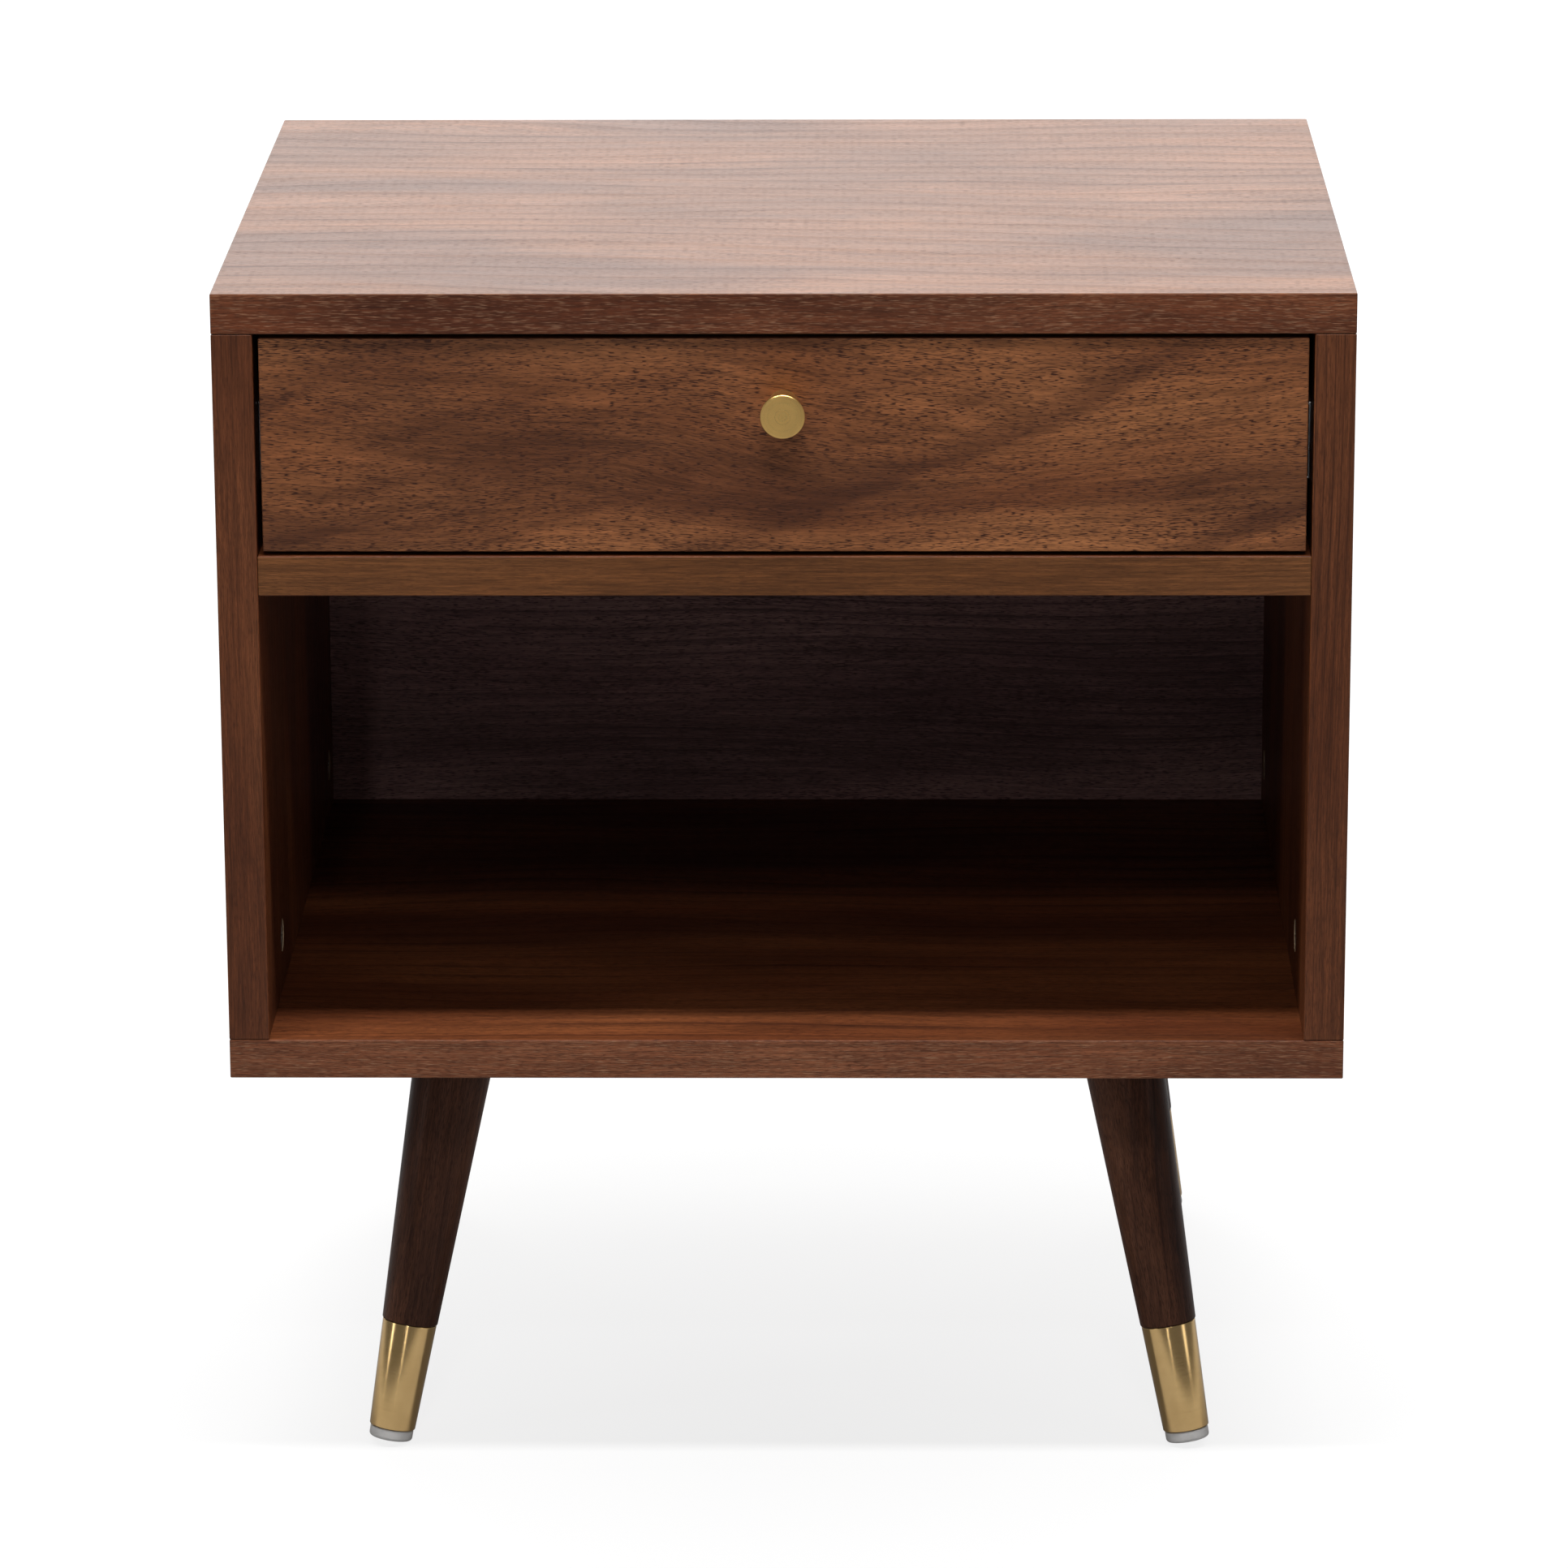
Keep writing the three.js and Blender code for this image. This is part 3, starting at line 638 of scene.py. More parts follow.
def finished_tree(tree, geometry, finish, socket):
    """Ends a tree: makes its copies real, gives them their finish, and hands them over."""
    real = node(tree, "GeometryNodeRealizeInstances", {"Geometry": geometry.outputs[0]})
    dressed = node(tree, "GeometryNodeSetMaterial", {"Geometry": real.outputs[0], "Material": finish})
    node(tree, "NodeGroupOutput", {socket: dressed.outputs[0]})
    return tree


def turning_tree():
    """Turns an outline of (radius, distance) points round an axis that runs down and leans over."""
    tree, given = new_tree(
        "turning",
        "GeometryNodeTree",
        {
            "Outline": "Geometry", "Sides": "Int", "Lean": "Float", "Heading": "Float",
            "Place": "Vector", "Finish": "Material",
        },
        {"Piece": "Geometry"},
    )
    ring_radius = 1.0
    inwards = node(
        tree, "GeometryNodeSetPosition", {"Geometry": given["Outline"], "Offset": (-ring_radius, 0, 0)}
    )
    outline = node(tree, "GeometryNodeMeshToCurve", {"Mesh": inwards.outputs[0]})
    circle = node(
        tree, "GeometryNodeCurvePrimitiveCircle", {"Resolution": given["Sides"], "Radius": ring_radius}
    )
    upright = node(tree, "GeometryNodeSetCurveNormal", {"Curve": circle.outputs[0]}, mode="Z_UP")
    swept = node(
        tree, "GeometryNodeCurveToMesh", {"Curve": upright.outputs[0], "Profile Curve": outline.outputs[0]}
    )
    closed = node(tree, "GeometryNodeMergeByDistance", {"Geometry": swept.outputs[0], "Distance": 2e-6})
    turn = node(
        tree,
        "ShaderNodeCombineXYZ",
        {"Y": maths(tree, "MULTIPLY", given["Lean"], -1.0), "Z": given["Heading"]},
    )
    placed = node(
        tree,
        "GeometryNodeTransform",
        {"Geometry": closed.outputs[0], "Translation": given["Place"], "Rotation": turn.outputs[0]},
    )
    return finished_tree(tree, placed, given["Finish"], "Piece")


turning = turning_tree()


def shaped(piece, tree, **values):
    """Runs a geometry-nodes tree on a piece with the given inputs, and leaves plain mesh."""
    modifier = piece.modifiers.new(tree.name, "NODES")
    modifier.node_group = tree
    for socket in tree.interface.items_tree:
        if socket.in_out == "INPUT" and socket.name in values:
            modifier[socket.identifier] = values[socket.name]
    return made_plain(piece)


def smoothed(piece, sharp=35):
    """Faces outwards and smooth shading, with edges over sharp degrees kept crisp."""
    shape = bmesh.new()
    shape.from_mesh(piece.data)
    bmesh.ops.recalc_face_normals(shape, faces=shape.faces)
    shape.to_mesh(piece.data)
    shape.free()
    piece.data.polygons.foreach_set("use_smooth", [True] * len(piece.data.polygons))
    piece.data.set_sharp_from_angle(angle=math.radians(sharp))
    return piece


def turned(name, outline, finish, place, lean=0.0, heading=0.0, sides=turning_sides):
    """A turned piece. Its outline's distances run from place along its axis, which leans by lean."""
    ring_closed = outline[0] == outline[-1]
    points = outline[:-1] if ring_closed else outline
    edges = [(i, i + 1) for i in range(len(points) - 1)]
    if ring_closed:
        edges.append((len(points) - 1, 0))
    piece = mesh_object(name, [(radius, distance, 0) for radius, distance in points], [], edges)
    shaped(
        piece,
        turning,
        Sides=sides,
        Lean=float(lean),
        Heading=float(heading),
        Place=list(place),
        Finish=finish,
    )
    return smoothed(piece)


def arc(centre, radius, first, last, steps=6):
    """Points of an arc round centre, between two angles in degrees."""
    angles = [math.radians(first + (last - first) * i / steps) for i in range(steps + 1)]
    return [(centre[0] + radius * math.cos(a), centre[1] + radius * math.sin(a)) for a in angles]


def axis_frame(lean, heading):
    """The direction of a turned piece's axis, and one square to it."""
    sideways = math.sin(lean)
    along = Vector((sideways * math.cos(heading), sideways * math.sin(heading), -math.cos(lean)))
    return along, along.orthogonal().normalized()


def axis_place(tree, place, lean, heading):
    """Object coordinates moved and turned, so that X runs along a turned piece's axis from place."""
    along, across = axis_frame(lean, heading)
    turn = grain_turn(along, across)
    return node(
        tree,
        "ShaderNodeMapping",
        {
            "Vector": object_place(tree),
            "Rotation": turn,
            "Location": -(turn.to_matrix() @ Vector(place)),
        },
    ).outputs[0]


def turned_metal(name, place, lean, heading, colour, dull, roughness):
    """A metal brushed on the lathe: fine lines round its axis, with a faint uneven tarnish."""
    made, tree = bare_material(name)
    spot = axis_place(tree, place, lean, heading)
    parts = node(tree, "ShaderNodeSeparateXYZ", {0: spot}).outputs
    radius = slope_length(tree, parts["Y"], parts["Z"])
    rings = node(tree, "ShaderNodeCombineXYZ", {"X": parts["X"], "Y": radius, "Z": 0.0}).outputs[0]
    lines = stretched_noise(tree, rings, (5200, 5200, 1), 3.0, 0.6)
    grit = stretched_noise(tree, spot, (2600, 2600, 2600), 2.0, 0.6)
    cloud = stretched_noise(tree, spot, (90, 90, 90), 3.0, 0.6)
    shade = blended(tree, ranged(tree, cloud, 0.4, 0.8, 0.0, 0.3), (*colour, 1), (*dull, 1))
    shade = blended(tree, ranged(tree, grit, 0.5, 0.8, 0.0, 0.25), shade, (*dull, 1))
    texture = maths(tree, "ADD", lines, maths(tree, "MULTIPLY", grit, 0.5))
    shader(
        tree,
        Base_Color=shade,
        Metallic=1.0,
        Roughness=ranged(tree, lines, 0.3, 0.7, roughness - 0.06, roughness + 0.08),
        Normal=bumped(tree, texture, lathe_line_depth),
    )
    return made


knob_low, knob_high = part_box("drawer_knob")
knob_place = Vector(((knob_low.x + knob_high.x) / 2, knob_high.y, (knob_low.z + knob_high.z) / 2))
knob_lean, knob_heading = math.pi / 2, -math.pi / 2
knob_outline = [
    (0, screw_hole_depth + 1 * MM),
    (screw_hole_radius, screw_hole_depth),
    (screw_hole_radius, 0),
    *arc((knob_base_radius - knob_base_round, knob_base_round), knob_base_round, -90, 0, 3),
    *arc((knob_face_radius - knob_round, knob_length - knob_round), knob_round, 8, 90, 6),
    (knob_face_radius * 0.6, knob_length),
    (0, knob_length),
]
knob_brass = turned_metal(
    "satin brass, turned", knob_place, knob_lean, knob_heading, knob_colour, brass_tarnish, 0.3
)
knob = turned("brass_knob", knob_outline, knob_brass, knob_place, knob_lean, knob_heading)
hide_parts("drawer_knob")
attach(knob, "drawer")

# ---- Knob screw ----
# A zinc-plated machine screw with a pan head and a cross recess, put in from inside the drawer and
# threaded into the knob's base.
zinc_colour = (0.62, 0.64, 0.66)
zinc_dull = (0.46, 0.48, 0.51)
thread_step = 0.7 * MM
thread_depth = 0.3 * MM
cross_width = 1.1 * MM
cross_length = 4.4 * MM


def plated_metal(name, colour, dull, roughness):
    """A plated or cast metal with a faint crystalline mottle."""
    made, tree = bare_material(name)
    place = object_place(tree)
    spangle = node(tree, "ShaderNodeTexVoronoi", {"Vector": place, "Scale": 900.0}).outputs["Color"]
    mottle = node(tree, "ShaderNodeRGBToBW", {0: spangle}).outputs[0]
    cloud = stretched_noise(tree, place, (60, 60, 60), 3.0, 0.6)
    share = maths(tree, "ADD", maths(tree, "MULTIPLY", mottle, 0.3), ranged(tree, cloud, 0.35, 0.7, 0, 0.6))
    shader(
        tree,
        Base_Color=blended(tree, share, (*colour, 1), (*dull, 1)),
        Metallic=1.0,
        Roughness=ranged(tree, cloud, 0.3, 0.7, roughness - 0.06, roughness + 0.1),
        Normal=bumped(tree, mottle, 0.00002),
    )
    return made


zinc = plated_metal("bright zinc plate", zinc_colour, zinc_dull, 0.3)


def threaded(radius, start, end, step=thread_step, depth=thread_depth):
    """The outline of a screw thread between two distances: a crest and a root at each step."""
    turns = int(abs(end - start) / step)
    ahead = math.copysign(step, end - start)
    points = []
    for i in range(turns):
        points += [(radius, start + ahead * (i + 0.3)), (radius - depth, start + ahead * (i + 0.8))]
    return points


def tool_object(shape, name):
    """A new object made from an edited shape, which is freed."""
    made = mesh_object(name, [], [])
    shape.to_mesh(made.data)
    shape.free()
    return made


def cross_cut(piece, place, outwards, width=cross_width, length=cross_length, depth=1.5 * MM):
    """Cuts a cross recess into a screw head whose face is at place and looks outwards."""
    arms = bmesh.new()
    for long_side in (0, 1):
        made = bmesh.ops.create_cube(arms, size=1)["verts"]
        for corner in made:
            narrow = 1.0 if corner.co.z > 0 else 0.45
            half = [width / 2, width / 2]
            half[long_side] = length / 2 * narrow
            corner.co = Vector(
                (corner.co.x * 2 * half[0], corner.co.y * 2 * half[1], depth if corner.co.z > 0 else -depth)
            )
    turn = Vector(outwards).to_track_quat("Z", "Y").to_matrix().to_4x4()
    bmesh.ops.transform(arms, matrix=Matrix.Translation(place) @ turn, verts=arms.verts)
    cut_with(piece, tool_object(arms, "cross"), "cross recess", crossing=True)


screw_head_radius = 4 * MM
screw_head_round = 1.2 * MM
screw_head_height = 2.4 * MM
screw_radius = 2 * MM
screw_plain_length = 10 * MM
screw_thread_end = 11 * MM
screw_end = 11.6 * MM
screw_head_top = knob_place.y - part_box("knob_screw")[1].y
screw_head_base = screw_head_top + screw_head_height
head_corner = (screw_head_radius - screw_head_round, screw_head_top + screw_head_round)
screw_outline = [
    (0, screw_head_top),
    *arc(head_corner, screw_head_round, 270, 360, 5),
    (screw_head_radius, screw_head_base),
    (screw_radius, screw_head_base),
    *threaded(screw_radius, screw_head_base + screw_plain_length, screw_thread_end),
    (0, screw_end),
]
knob_screw = turned("machine_screw", screw_outline, zinc, knob_place, knob_lean, knob_heading, sides=32)
cross_cut(knob_screw, knob_place - Vector((0, screw_head_top, 0)), (0, 1, 0))
smoothed(knob_screw)
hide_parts("knob_screw")
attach(knob_screw, "drawer")

# ---- Drawer box ----
# Two sides and a back of 12 mm board wrapped in a light walnut foil, with a thin hardboard bottom
# slid into grooves in the sides and the drawer front.
box_dark = (0.150, 0.085, 0.045)
box_middle = (0.330, 0.200, 0.110)
box_light = (0.430, 0.280, 0.165)
side_foil = wood(
    "light walnut foil, along the drawer", Y, Z, (1.9, 0.6, 3.1), box_dark, box_middle, box_light,
    rings=60.0, wander=0.5, pores=0.4, roughness=0.5,
)
back_foil = wood(
    "light walnut foil, across the drawer", X, Z, (2.9, 0.3, 1.1), box_dark, box_middle, box_light,
    rings=60.0, wander=0.5, pores=0.4, roughness=0.5,
)


def hardboard_material():
    """Brown hardboard: pressed fibres, with a smooth sealed face."""
    made, tree = bare_material("brown hardboard")
    place = object_place(tree)
    fibres = stretched_noise(tree, place, (900, 900, 900), 4.0, 0.7)
    cloud = stretched_noise(tree, place, (25, 25, 25), 3.0)
    light_share = ranged(tree, fibres, 0.35, 0.65, 0, 1)
    colour = blended(tree, light_share, (0.13, 0.075, 0.042, 1), (0.21, 0.13, 0.075, 1))
    colour = blended(tree, ranged(tree, cloud, 0.3, 0.7, 0, 0.4), colour, (0.11, 0.062, 0.036, 1))
    shader(tree, Base_Color=colour, Roughness=0.62, Normal=bumped(tree, fibres, 0.00006))
    return made


hardboard = hardboard_material()
for hand in ("left", "right"):
    side = board(
        f"drawer_{hand}_side", f"foiled_drawer_{hand}_side", side_foil, side_foil, 0
    )
    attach(side, "drawer")
drawer_back = board("drawer_back", "foiled_drawer_back", back_foil, back_foil, 1)
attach(drawer_back, "drawer")
drawer_bottom = board(
    "drawer_bottom", "hardboard_drawer_bottom", hardboard, hardboard, 2, edge=0.0003
)
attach(drawer_bottom, "drawer")

# ---- Legs ----
# Four round legs of solid wood, stained espresso, tapering down to a shoulder and a spigot that the
# ferrule fits over. Each leans outwards along the diagonal and has a blind hole at each end.
leg_lean = math.radians(13.9)
leg_top_radius = 18.5 * MM
leg_low_radius = 12.9 * MM
leg_seat = 8.38 * MM
leg_shoulder = 138.48 * MM
ferrule_start = 138.78 * MM
ferrule_end = 188.78 * MM
ferrule_top_radius = 12.5 * MM
ferrule_low_radius = 10.6 * MM
ferrule_wall = 0.9 * MM
fit_gap = 0.3 * MM
hanger_radius = 4 * MM
hanger_end = 46.38 * MM
hanger_point = 6 * MM
stem_radius = 2.5 * MM
glide_start = 189.08 * MM
stem_start = glide_start - 15 * MM
leg_inset_across = 98.7 * MM
leg_inset_deep = 73 * MM
stain_dark = (0.011, 0.004, 0.003)
stain_middle = (0.036, 0.013, 0.007)
stain_light = (0.120, 0.048, 0.025)
leg_shine = 0.09

under_low, under_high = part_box("bottom_panel")
leg_x = under_high.x - leg_inset_across
leg_places = {
    "front_left": (Vector((-leg_x, under_low.y + leg_inset_deep, under_low.z)), math.radians(225)),
    "front_right": (Vector((leg_x, under_low.y + leg_inset_deep, under_low.z)), math.radians(315)),
    "rear_right": (Vector((leg_x, under_high.y - leg_inset_deep, under_low.z)), math.radians(45)),
    "rear_left": (Vector((-leg_x, under_high.y - leg_inset_deep, under_low.z)), math.radians(135)),
}
hole_end = hanger_end + hanger_point + fit_gap
leg_outline = [
    (0, hole_end),
    (hanger_radius + fit_gap, hole_end),
    (hanger_radius + fit_gap, leg_seat),
    *arc((leg_top_radius - 1 * MM, leg_seat + 1 * MM), 1 * MM, 270, 360, 5),
    *arc((leg_low_radius - 0.6 * MM, leg_shoulder - 0.6 * MM), 0.6 * MM, 0, 90, 5),
    (ferrule_top_radius - ferrule_wall - fit_gap, leg_shoulder),
    (ferrule_low_radius - ferrule_wall - fit_gap, ferrule_end),
    (stem_radius + fit_gap, ferrule_end),
    (stem_radius + fit_gap, stem_start - fit_gap),
    (0, stem_start - fit_gap),
]
for number, (corner, (place, heading)) in enumerate(leg_places.items()):
    along, across = axis_frame(leg_lean, heading)
    espresso = wood(
        f"espresso stain, {corner} leg", along, across, (0.7 + 1.3 * number, 0.45, 0.21 * number),
        stain_dark, stain_middle, stain_light, rings=120.0, wander=0.9, pores=0.5, roughness=0.36,
        shine=leg_shine,
    )
    leg = turned(f"stained_{corner}_leg", leg_outline, espresso, place, leg_lean, heading)
    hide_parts(f"{corner}_leg")
    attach(leg, "cabinet")

# ---- Ferrules ----
# A tapered brass tube over the foot of each leg, spun and brushed on a lathe, with its lower lip
# rolled in a little.
ferrule_top_round = 0.35 * MM
ferrule_lip_round = 0.8 * MM
top_corner = (ferrule_top_radius - ferrule_top_round, ferrule_start + ferrule_top_round)
lip_corner = (ferrule_low_radius - ferrule_lip_round, ferrule_end - ferrule_lip_round)
ferrule_outline = [
    (ferrule_top_radius - ferrule_wall, ferrule_start),
    *arc(top_corner, ferrule_top_round, 270, 360, 4),
    *arc(lip_corner, ferrule_lip_round, 0, 80, 5),
    (ferrule_low_radius - ferrule_wall, ferrule_end),
    (ferrule_top_radius - ferrule_wall, ferrule_start),
]
for corner, (place, heading) in leg_places.items():
    brushed = turned_metal(
        f"brushed brass, {corner}", place, leg_lean, heading, brass_colour, brass_tarnish, 0.17
    )
    ferrule = turned(f"brass_{corner}_ferrule", ferrule_outline, brushed, place, leg_lean, heading)
    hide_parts(f"{corner}_ferrule")
    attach(ferrule, "cabinet")

# ---- Glides ----
# A moulded grey plastic foot pressed into each leg by its ribbed stem. The leg leans, so the lowest
# part of the glide has worn flat where it stands on the floor.
glide_radius = 10 * MM
glide_end = 194.08 * MM
glide_round = 1.6 * MM
glide_grey = (0.50, 0.49, 0.48)


def plastic_material(name, colour, roughness):
    """Moulded plastic with a faint orange-peel skin and slight soiling."""
    made, tree = bare_material(name)
    place = object_place(tree)
    skin = stretched_noise(tree, place, (1400, 1400, 1400), 2.0)
    soil = stretched_noise(tree, place, (140, 140, 140), 4.0, 0.65)
    soiled = tuple(0.72 * part for part in colour)
    shader(
        tree,
        Base_Color=blended(tree, ranged(tree, soil, 0.45, 0.8, 0, 0.8), (*colour, 1), (*soiled, 1)),
        Roughness=ranged(tree, soil, 0.3, 0.7, roughness, roughness + 0.15),
        Normal=bumped(tree, skin, 0.00003),
    )
    return made


glide_plastic = plastic_material("grey moulded plastic", glide_grey, 0.38)


def cut_flat(piece, height):
    """Cuts off all of a piece below a height, and closes it with a flat face."""
    shape = bmesh.new()
    shape.from_mesh(piece.data)
    everything = list(shape.verts) + list(shape.edges) + list(shape.faces)
    cut = bmesh.ops.bisect_plane(
        shape, geom=everything, plane_co=(0, 0, height), plane_no=(0, 0, -1), clear_outer=True
    )["geom_cut"]
    bmesh.ops.contextual_create(shape, geom=[part for part in cut if isinstance(part, bmesh.types.BMEdge)])
    shape.to_mesh(piece.data)
    shape.free()
    return piece


stem_core_radius = stem_radius - 0.3 * MM
ribs = []
for step in range(4):
    rib = stem_start + (3 + 2.6 * step) * MM
    ribs += [(stem_core_radius, rib), (stem_radius, rib + 0.9 * MM), (stem_core_radius, rib + 1.1 * MM)]
glide_outline = [
    (0, stem_start),
    (stem_radius - 0.8 * MM, stem_start),
    (stem_core_radius, stem_start + 2 * MM),
    *ribs,
    (stem_core_radius, glide_start),
    *arc((glide_radius - 0.4 * MM, glide_start + 0.4 * MM), 0.4 * MM, 270, 360, 3),
    *arc((glide_radius - glide_round, glide_end - glide_round), glide_round, 0, 90, 8),
    (0, glide_end),
]
for corner, (place, heading) in leg_places.items():
    glide = turned(f"moulded_{corner}_glide", glide_outline, glide_plastic, place, leg_lean, heading)
    smoothed(cut_flat(glide, 0))
    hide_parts(f"{corner}_glide")
    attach(glide, "cabinet")

# ---- Leg plates ----
# A pressed black steel plate under each corner of the bottom panel, with an inclined threaded boss
# for the leg's hanger bolt and four countersunk holes.
def painted_steel(name, colour, roughness):
    """Steel under a thin semi-gloss black paint with a fine grain."""
    made, tree = bare_material(name)
    place = object_place(tree)
    grain = stretched_noise(tree, place, (1800, 1800, 1800), 3.0, 0.6)
    cloud = stretched_noise(tree, place, (70, 70, 70), 3.0)
    lighter = tuple(2.2 * part for part in colour)
    shader(
        tree,
        Base_Color=blended(tree, ranged(tree, cloud, 0.4, 0.8, 0, 0.7), (*colour, 1), (*lighter, 1)),
        Roughness=ranged(tree, grain, 0.3, 0.7, roughness, roughness + 0.18),
        Normal=bumped(tree, grain, 0.00005),
    )
    return made


def softened(source, name, finish, edge, steps=3):
    """A CAD node's shape with its sharp edges rounded, in a new finish."""
    piece = merged_copy(source, name)
    piece.data.materials.append(finish)
    piece.data.polygons.foreach_set("use_smooth", [True] * len(piece.data.polygons))
    rounding = piece.modifiers.new("rounded edges", "BEVEL")
    rounding.limit_method = "ANGLE"
    rounding.angle_limit = math.radians(30)
    rounding.width = edge
    rounding.segments = steps
    rounding.harden_normals = True
    made_plain(piece)
    piece.data.set_sharp_from_angle(angle=crisp_angle)
    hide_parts(source)
    return piece


black_paint = painted_steel("black painted steel", (0.012, 0.012, 0.012), 0.34)
for corner in leg_places:
    plate = softened(f"{corner}_leg_plate", f"steel_{corner}_plate", black_paint, 0.0003)
    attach(plate, "cabinet")

# ---- Plate screws ----
# Four countersunk wood screws through each leg plate into the bottom panel, driven flush, with their
# cross recesses left at any angle.
plate_hole_spread = 24 * MM
wood_screw_head_radius = 4.3 * MM
wood_screw_head_height = 2.3 * MM
wood_screw_radius = 2 * MM
wood_screw_length = 16 * MM
plate_thickness = 3 * MM
plate_screw_sink = 0.1 * MM
plate_screw_seed = 7


def screws_tree():
    """A screw on each point, facing one way, each turned about its axis by chance."""
    tree, given = new_tree(
        "screws",
        "GeometryNodeTree",
        {"Places": "Geometry", "Screw": "Object", "Facing": "Vector", "Seed": "Int", "Finish": "Material"},
        {"Screws": "Geometry"},
    )
    spin = node(tree, "FunctionNodeRandomValue", data_type="FLOAT")
    number_inputs = [socket for socket in spin.inputs if socket.type == "VALUE"]
    number_inputs[0].default_value = 0.0
    number_inputs[1].default_value = math.tau
    tree.links.new(given["Seed"], spin.inputs["Seed"])
    spun = next(socket for socket in spin.outputs if socket.type == "VALUE")
    facing = node(
        tree, "FunctionNodeAlignRotationToVector", {"Vector": given["Facing"]}, axis="Z"
    ).outputs[0]
    turned_round = node(
        tree,
        "FunctionNodeRotateRotation",
        {0: facing, 1: node(tree, "ShaderNodeCombineXYZ", {"Z": spun}).outputs[0]},
        rotation_space="LOCAL",
    ).outputs[0]
    model = node(tree, "GeometryNodeObjectInfo", {"Object": given["Screw"], "As Instance": True})
    placed = node(
        tree,
        "GeometryNodeInstanceOnPoints",
        {"Points": given["Places"], "Instance": model.outputs["Geometry"], "Rotation": turned_round},
    )
    return finished_tree(tree, placed, given["Finish"], "Screws")


screwed = screws_tree()


def screw_model(name, head, shank_radius, length, finish):
    """A wood screw at the origin, its head's face on top and its point down."""
    head_end = head[-1][1]
    outline = [
        *head,
        (shank_radius, head_end),
        *threaded(shank_radius, head_end + 1.5 * MM, length - 3 * MM, 1.4 * MM, 0.5 * MM),
        (shank_radius * 0.8, length - 3 * MM),
        (0, length),
    ]
    return turned(name, outline, finish, (0, 0, 0), sides=20)


def fixed_screws(name, model, places, facing, seed, finish, body):
    """Copies of a screw at several places, as one piece."""
    piece = mesh_object(name, places, [])
    shaped(piece, screwed, Screw=model, Facing=list(facing), Seed=seed, Finish=finish)
    smoothed(piece)
    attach(piece, body)


black_zinc = plated_metal("black zinc plate", (0.10, 0.10, 0.11), (0.05, 0.05, 0.055), 0.35)
flat_head = [
    (0, 0),
    (wood_screw_head_radius, 0),
    (wood_screw_head_radius, 0.3 * MM),
    (wood_screw_radius, wood_screw_head_height),
]
flat_screw = screw_model("flat head", flat_head, wood_screw_radius, wood_screw_length, black_zinc)
cross_cut(flat_screw, Vector((0, 0, 0)), (0, 0, 1))
plate_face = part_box("front_left_leg_plate")[1].z - plate_thickness
head_level = plate_face + plate_screw_sink
plate_screw_places = [
    (place.x + across * plate_hole_spread, place.y + deep * plate_hole_spread, head_level)
    for place, _ in leg_places.values()
    for across in (-1, 1)
    for deep in (-1, 1)
]
fixed_screws(
    "leg_plate_screws", flat_screw, plate_screw_places, (0, 0, -1), plate_screw_seed, black_zinc,
    "cabinet",
)
bpy.data.objects.remove(flat_screw)

# ---- Hanger bolts ----
# A zinc-plated steel rod in each leg: a machine thread at the top turns into the plate's boss, and a
# coarse wood thread holds in the leg.
hanger_start = fit_gap + 1.4 * MM
hanger_outline = [
    (0, hanger_start),
    (hanger_radius - 0.8 * MM, hanger_start),
    *threaded(hanger_radius, hanger_start + 0.5 * MM, leg_seat + 2 * MM, 1.25 * MM, 0.6 * MM),
    (hanger_radius - 0.5 * MM, leg_seat + 3 * MM),
    (hanger_radius - 0.5 * MM, leg_seat + 8 * MM),
    *threaded(hanger_radius, leg_seat + 8.5 * MM, hanger_end, 2.4 * MM, 0.9 * MM),
    (hanger_radius - 0.8 * MM, hanger_end),
    (0, hanger_end + hanger_point),
]
for corner, (place, heading) in leg_places.items():
    hanger = turned(f"threaded_{corner}_hanger", hanger_outline, zinc, place, leg_lean, heading, sides=24)
    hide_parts(f"{corner}_hanger_bolt")
    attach(hanger, "cabinet")

# ---- Cam locks, cam bolts and dowels ----
# A zinc cam in each bore turns on the head of a bolt screwed into the top or bottom panel, and draws
# the joint tight. Beech dowels hold the shelf.
cam_metal = plated_metal("die-cast zinc", (0.42, 0.38, 0.33), (0.30, 0.27, 0.23), 0.42)
cam_places = [
    f"{hand}_{end}_{level}"
    for hand in ("left", "right")
    for end in ("front", "rear")
    for level in ("lower", "upper")
]
cam_bolt_point = -11 * MM
cam_bolt_radius = 2.5 * MM
cam_bolt_collar_radius = 3.5 * MM
cam_bolt_head_radius = 3.1 * MM
cam_bolt_neck_end = 23.55 * MM
cam_bolt_head_end = 26.55 * MM
for name in cam_places:
    cam = softened(f"{name}_cam_lock", f"cast_{name}_cam", cam_metal, 0.0002, 2)
    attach(cam, "cabinet")
    low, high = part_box(f"{name}_cam_bolt")
    upwards = name.endswith("lower")
    joint = under_high.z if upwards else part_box("top_panel")[0].z
    bolt_outline = [
        (0, cam_bolt_point),
        (1.6 * MM, cam_bolt_point),
        *threaded(2.9 * MM, -10.4 * MM, -0.3 * MM, 1.6 * MM, 0.9 * MM),
        (cam_bolt_collar_radius, 0.4 * MM),
        (cam_bolt_collar_radius, 2.1 * MM),
        (cam_bolt_radius, 2.6 * MM),
        (cam_bolt_radius, cam_bolt_neck_end),
        (cam_bolt_head_radius, cam_bolt_neck_end + 1 * MM),
        (cam_bolt_head_radius, cam_bolt_head_end - 0.5 * MM),
        (0, cam_bolt_head_end),
    ]
    bolt = turned(
        f"threaded_{name}_bolt", bolt_outline, zinc, ((low.x + high.x) / 2, (low.y + high.y) / 2, joint),
        math.pi if upwards else 0.0, sides=24,
    )
    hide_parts(f"{name}_cam_bolt")
    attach(bolt, "cabinet")

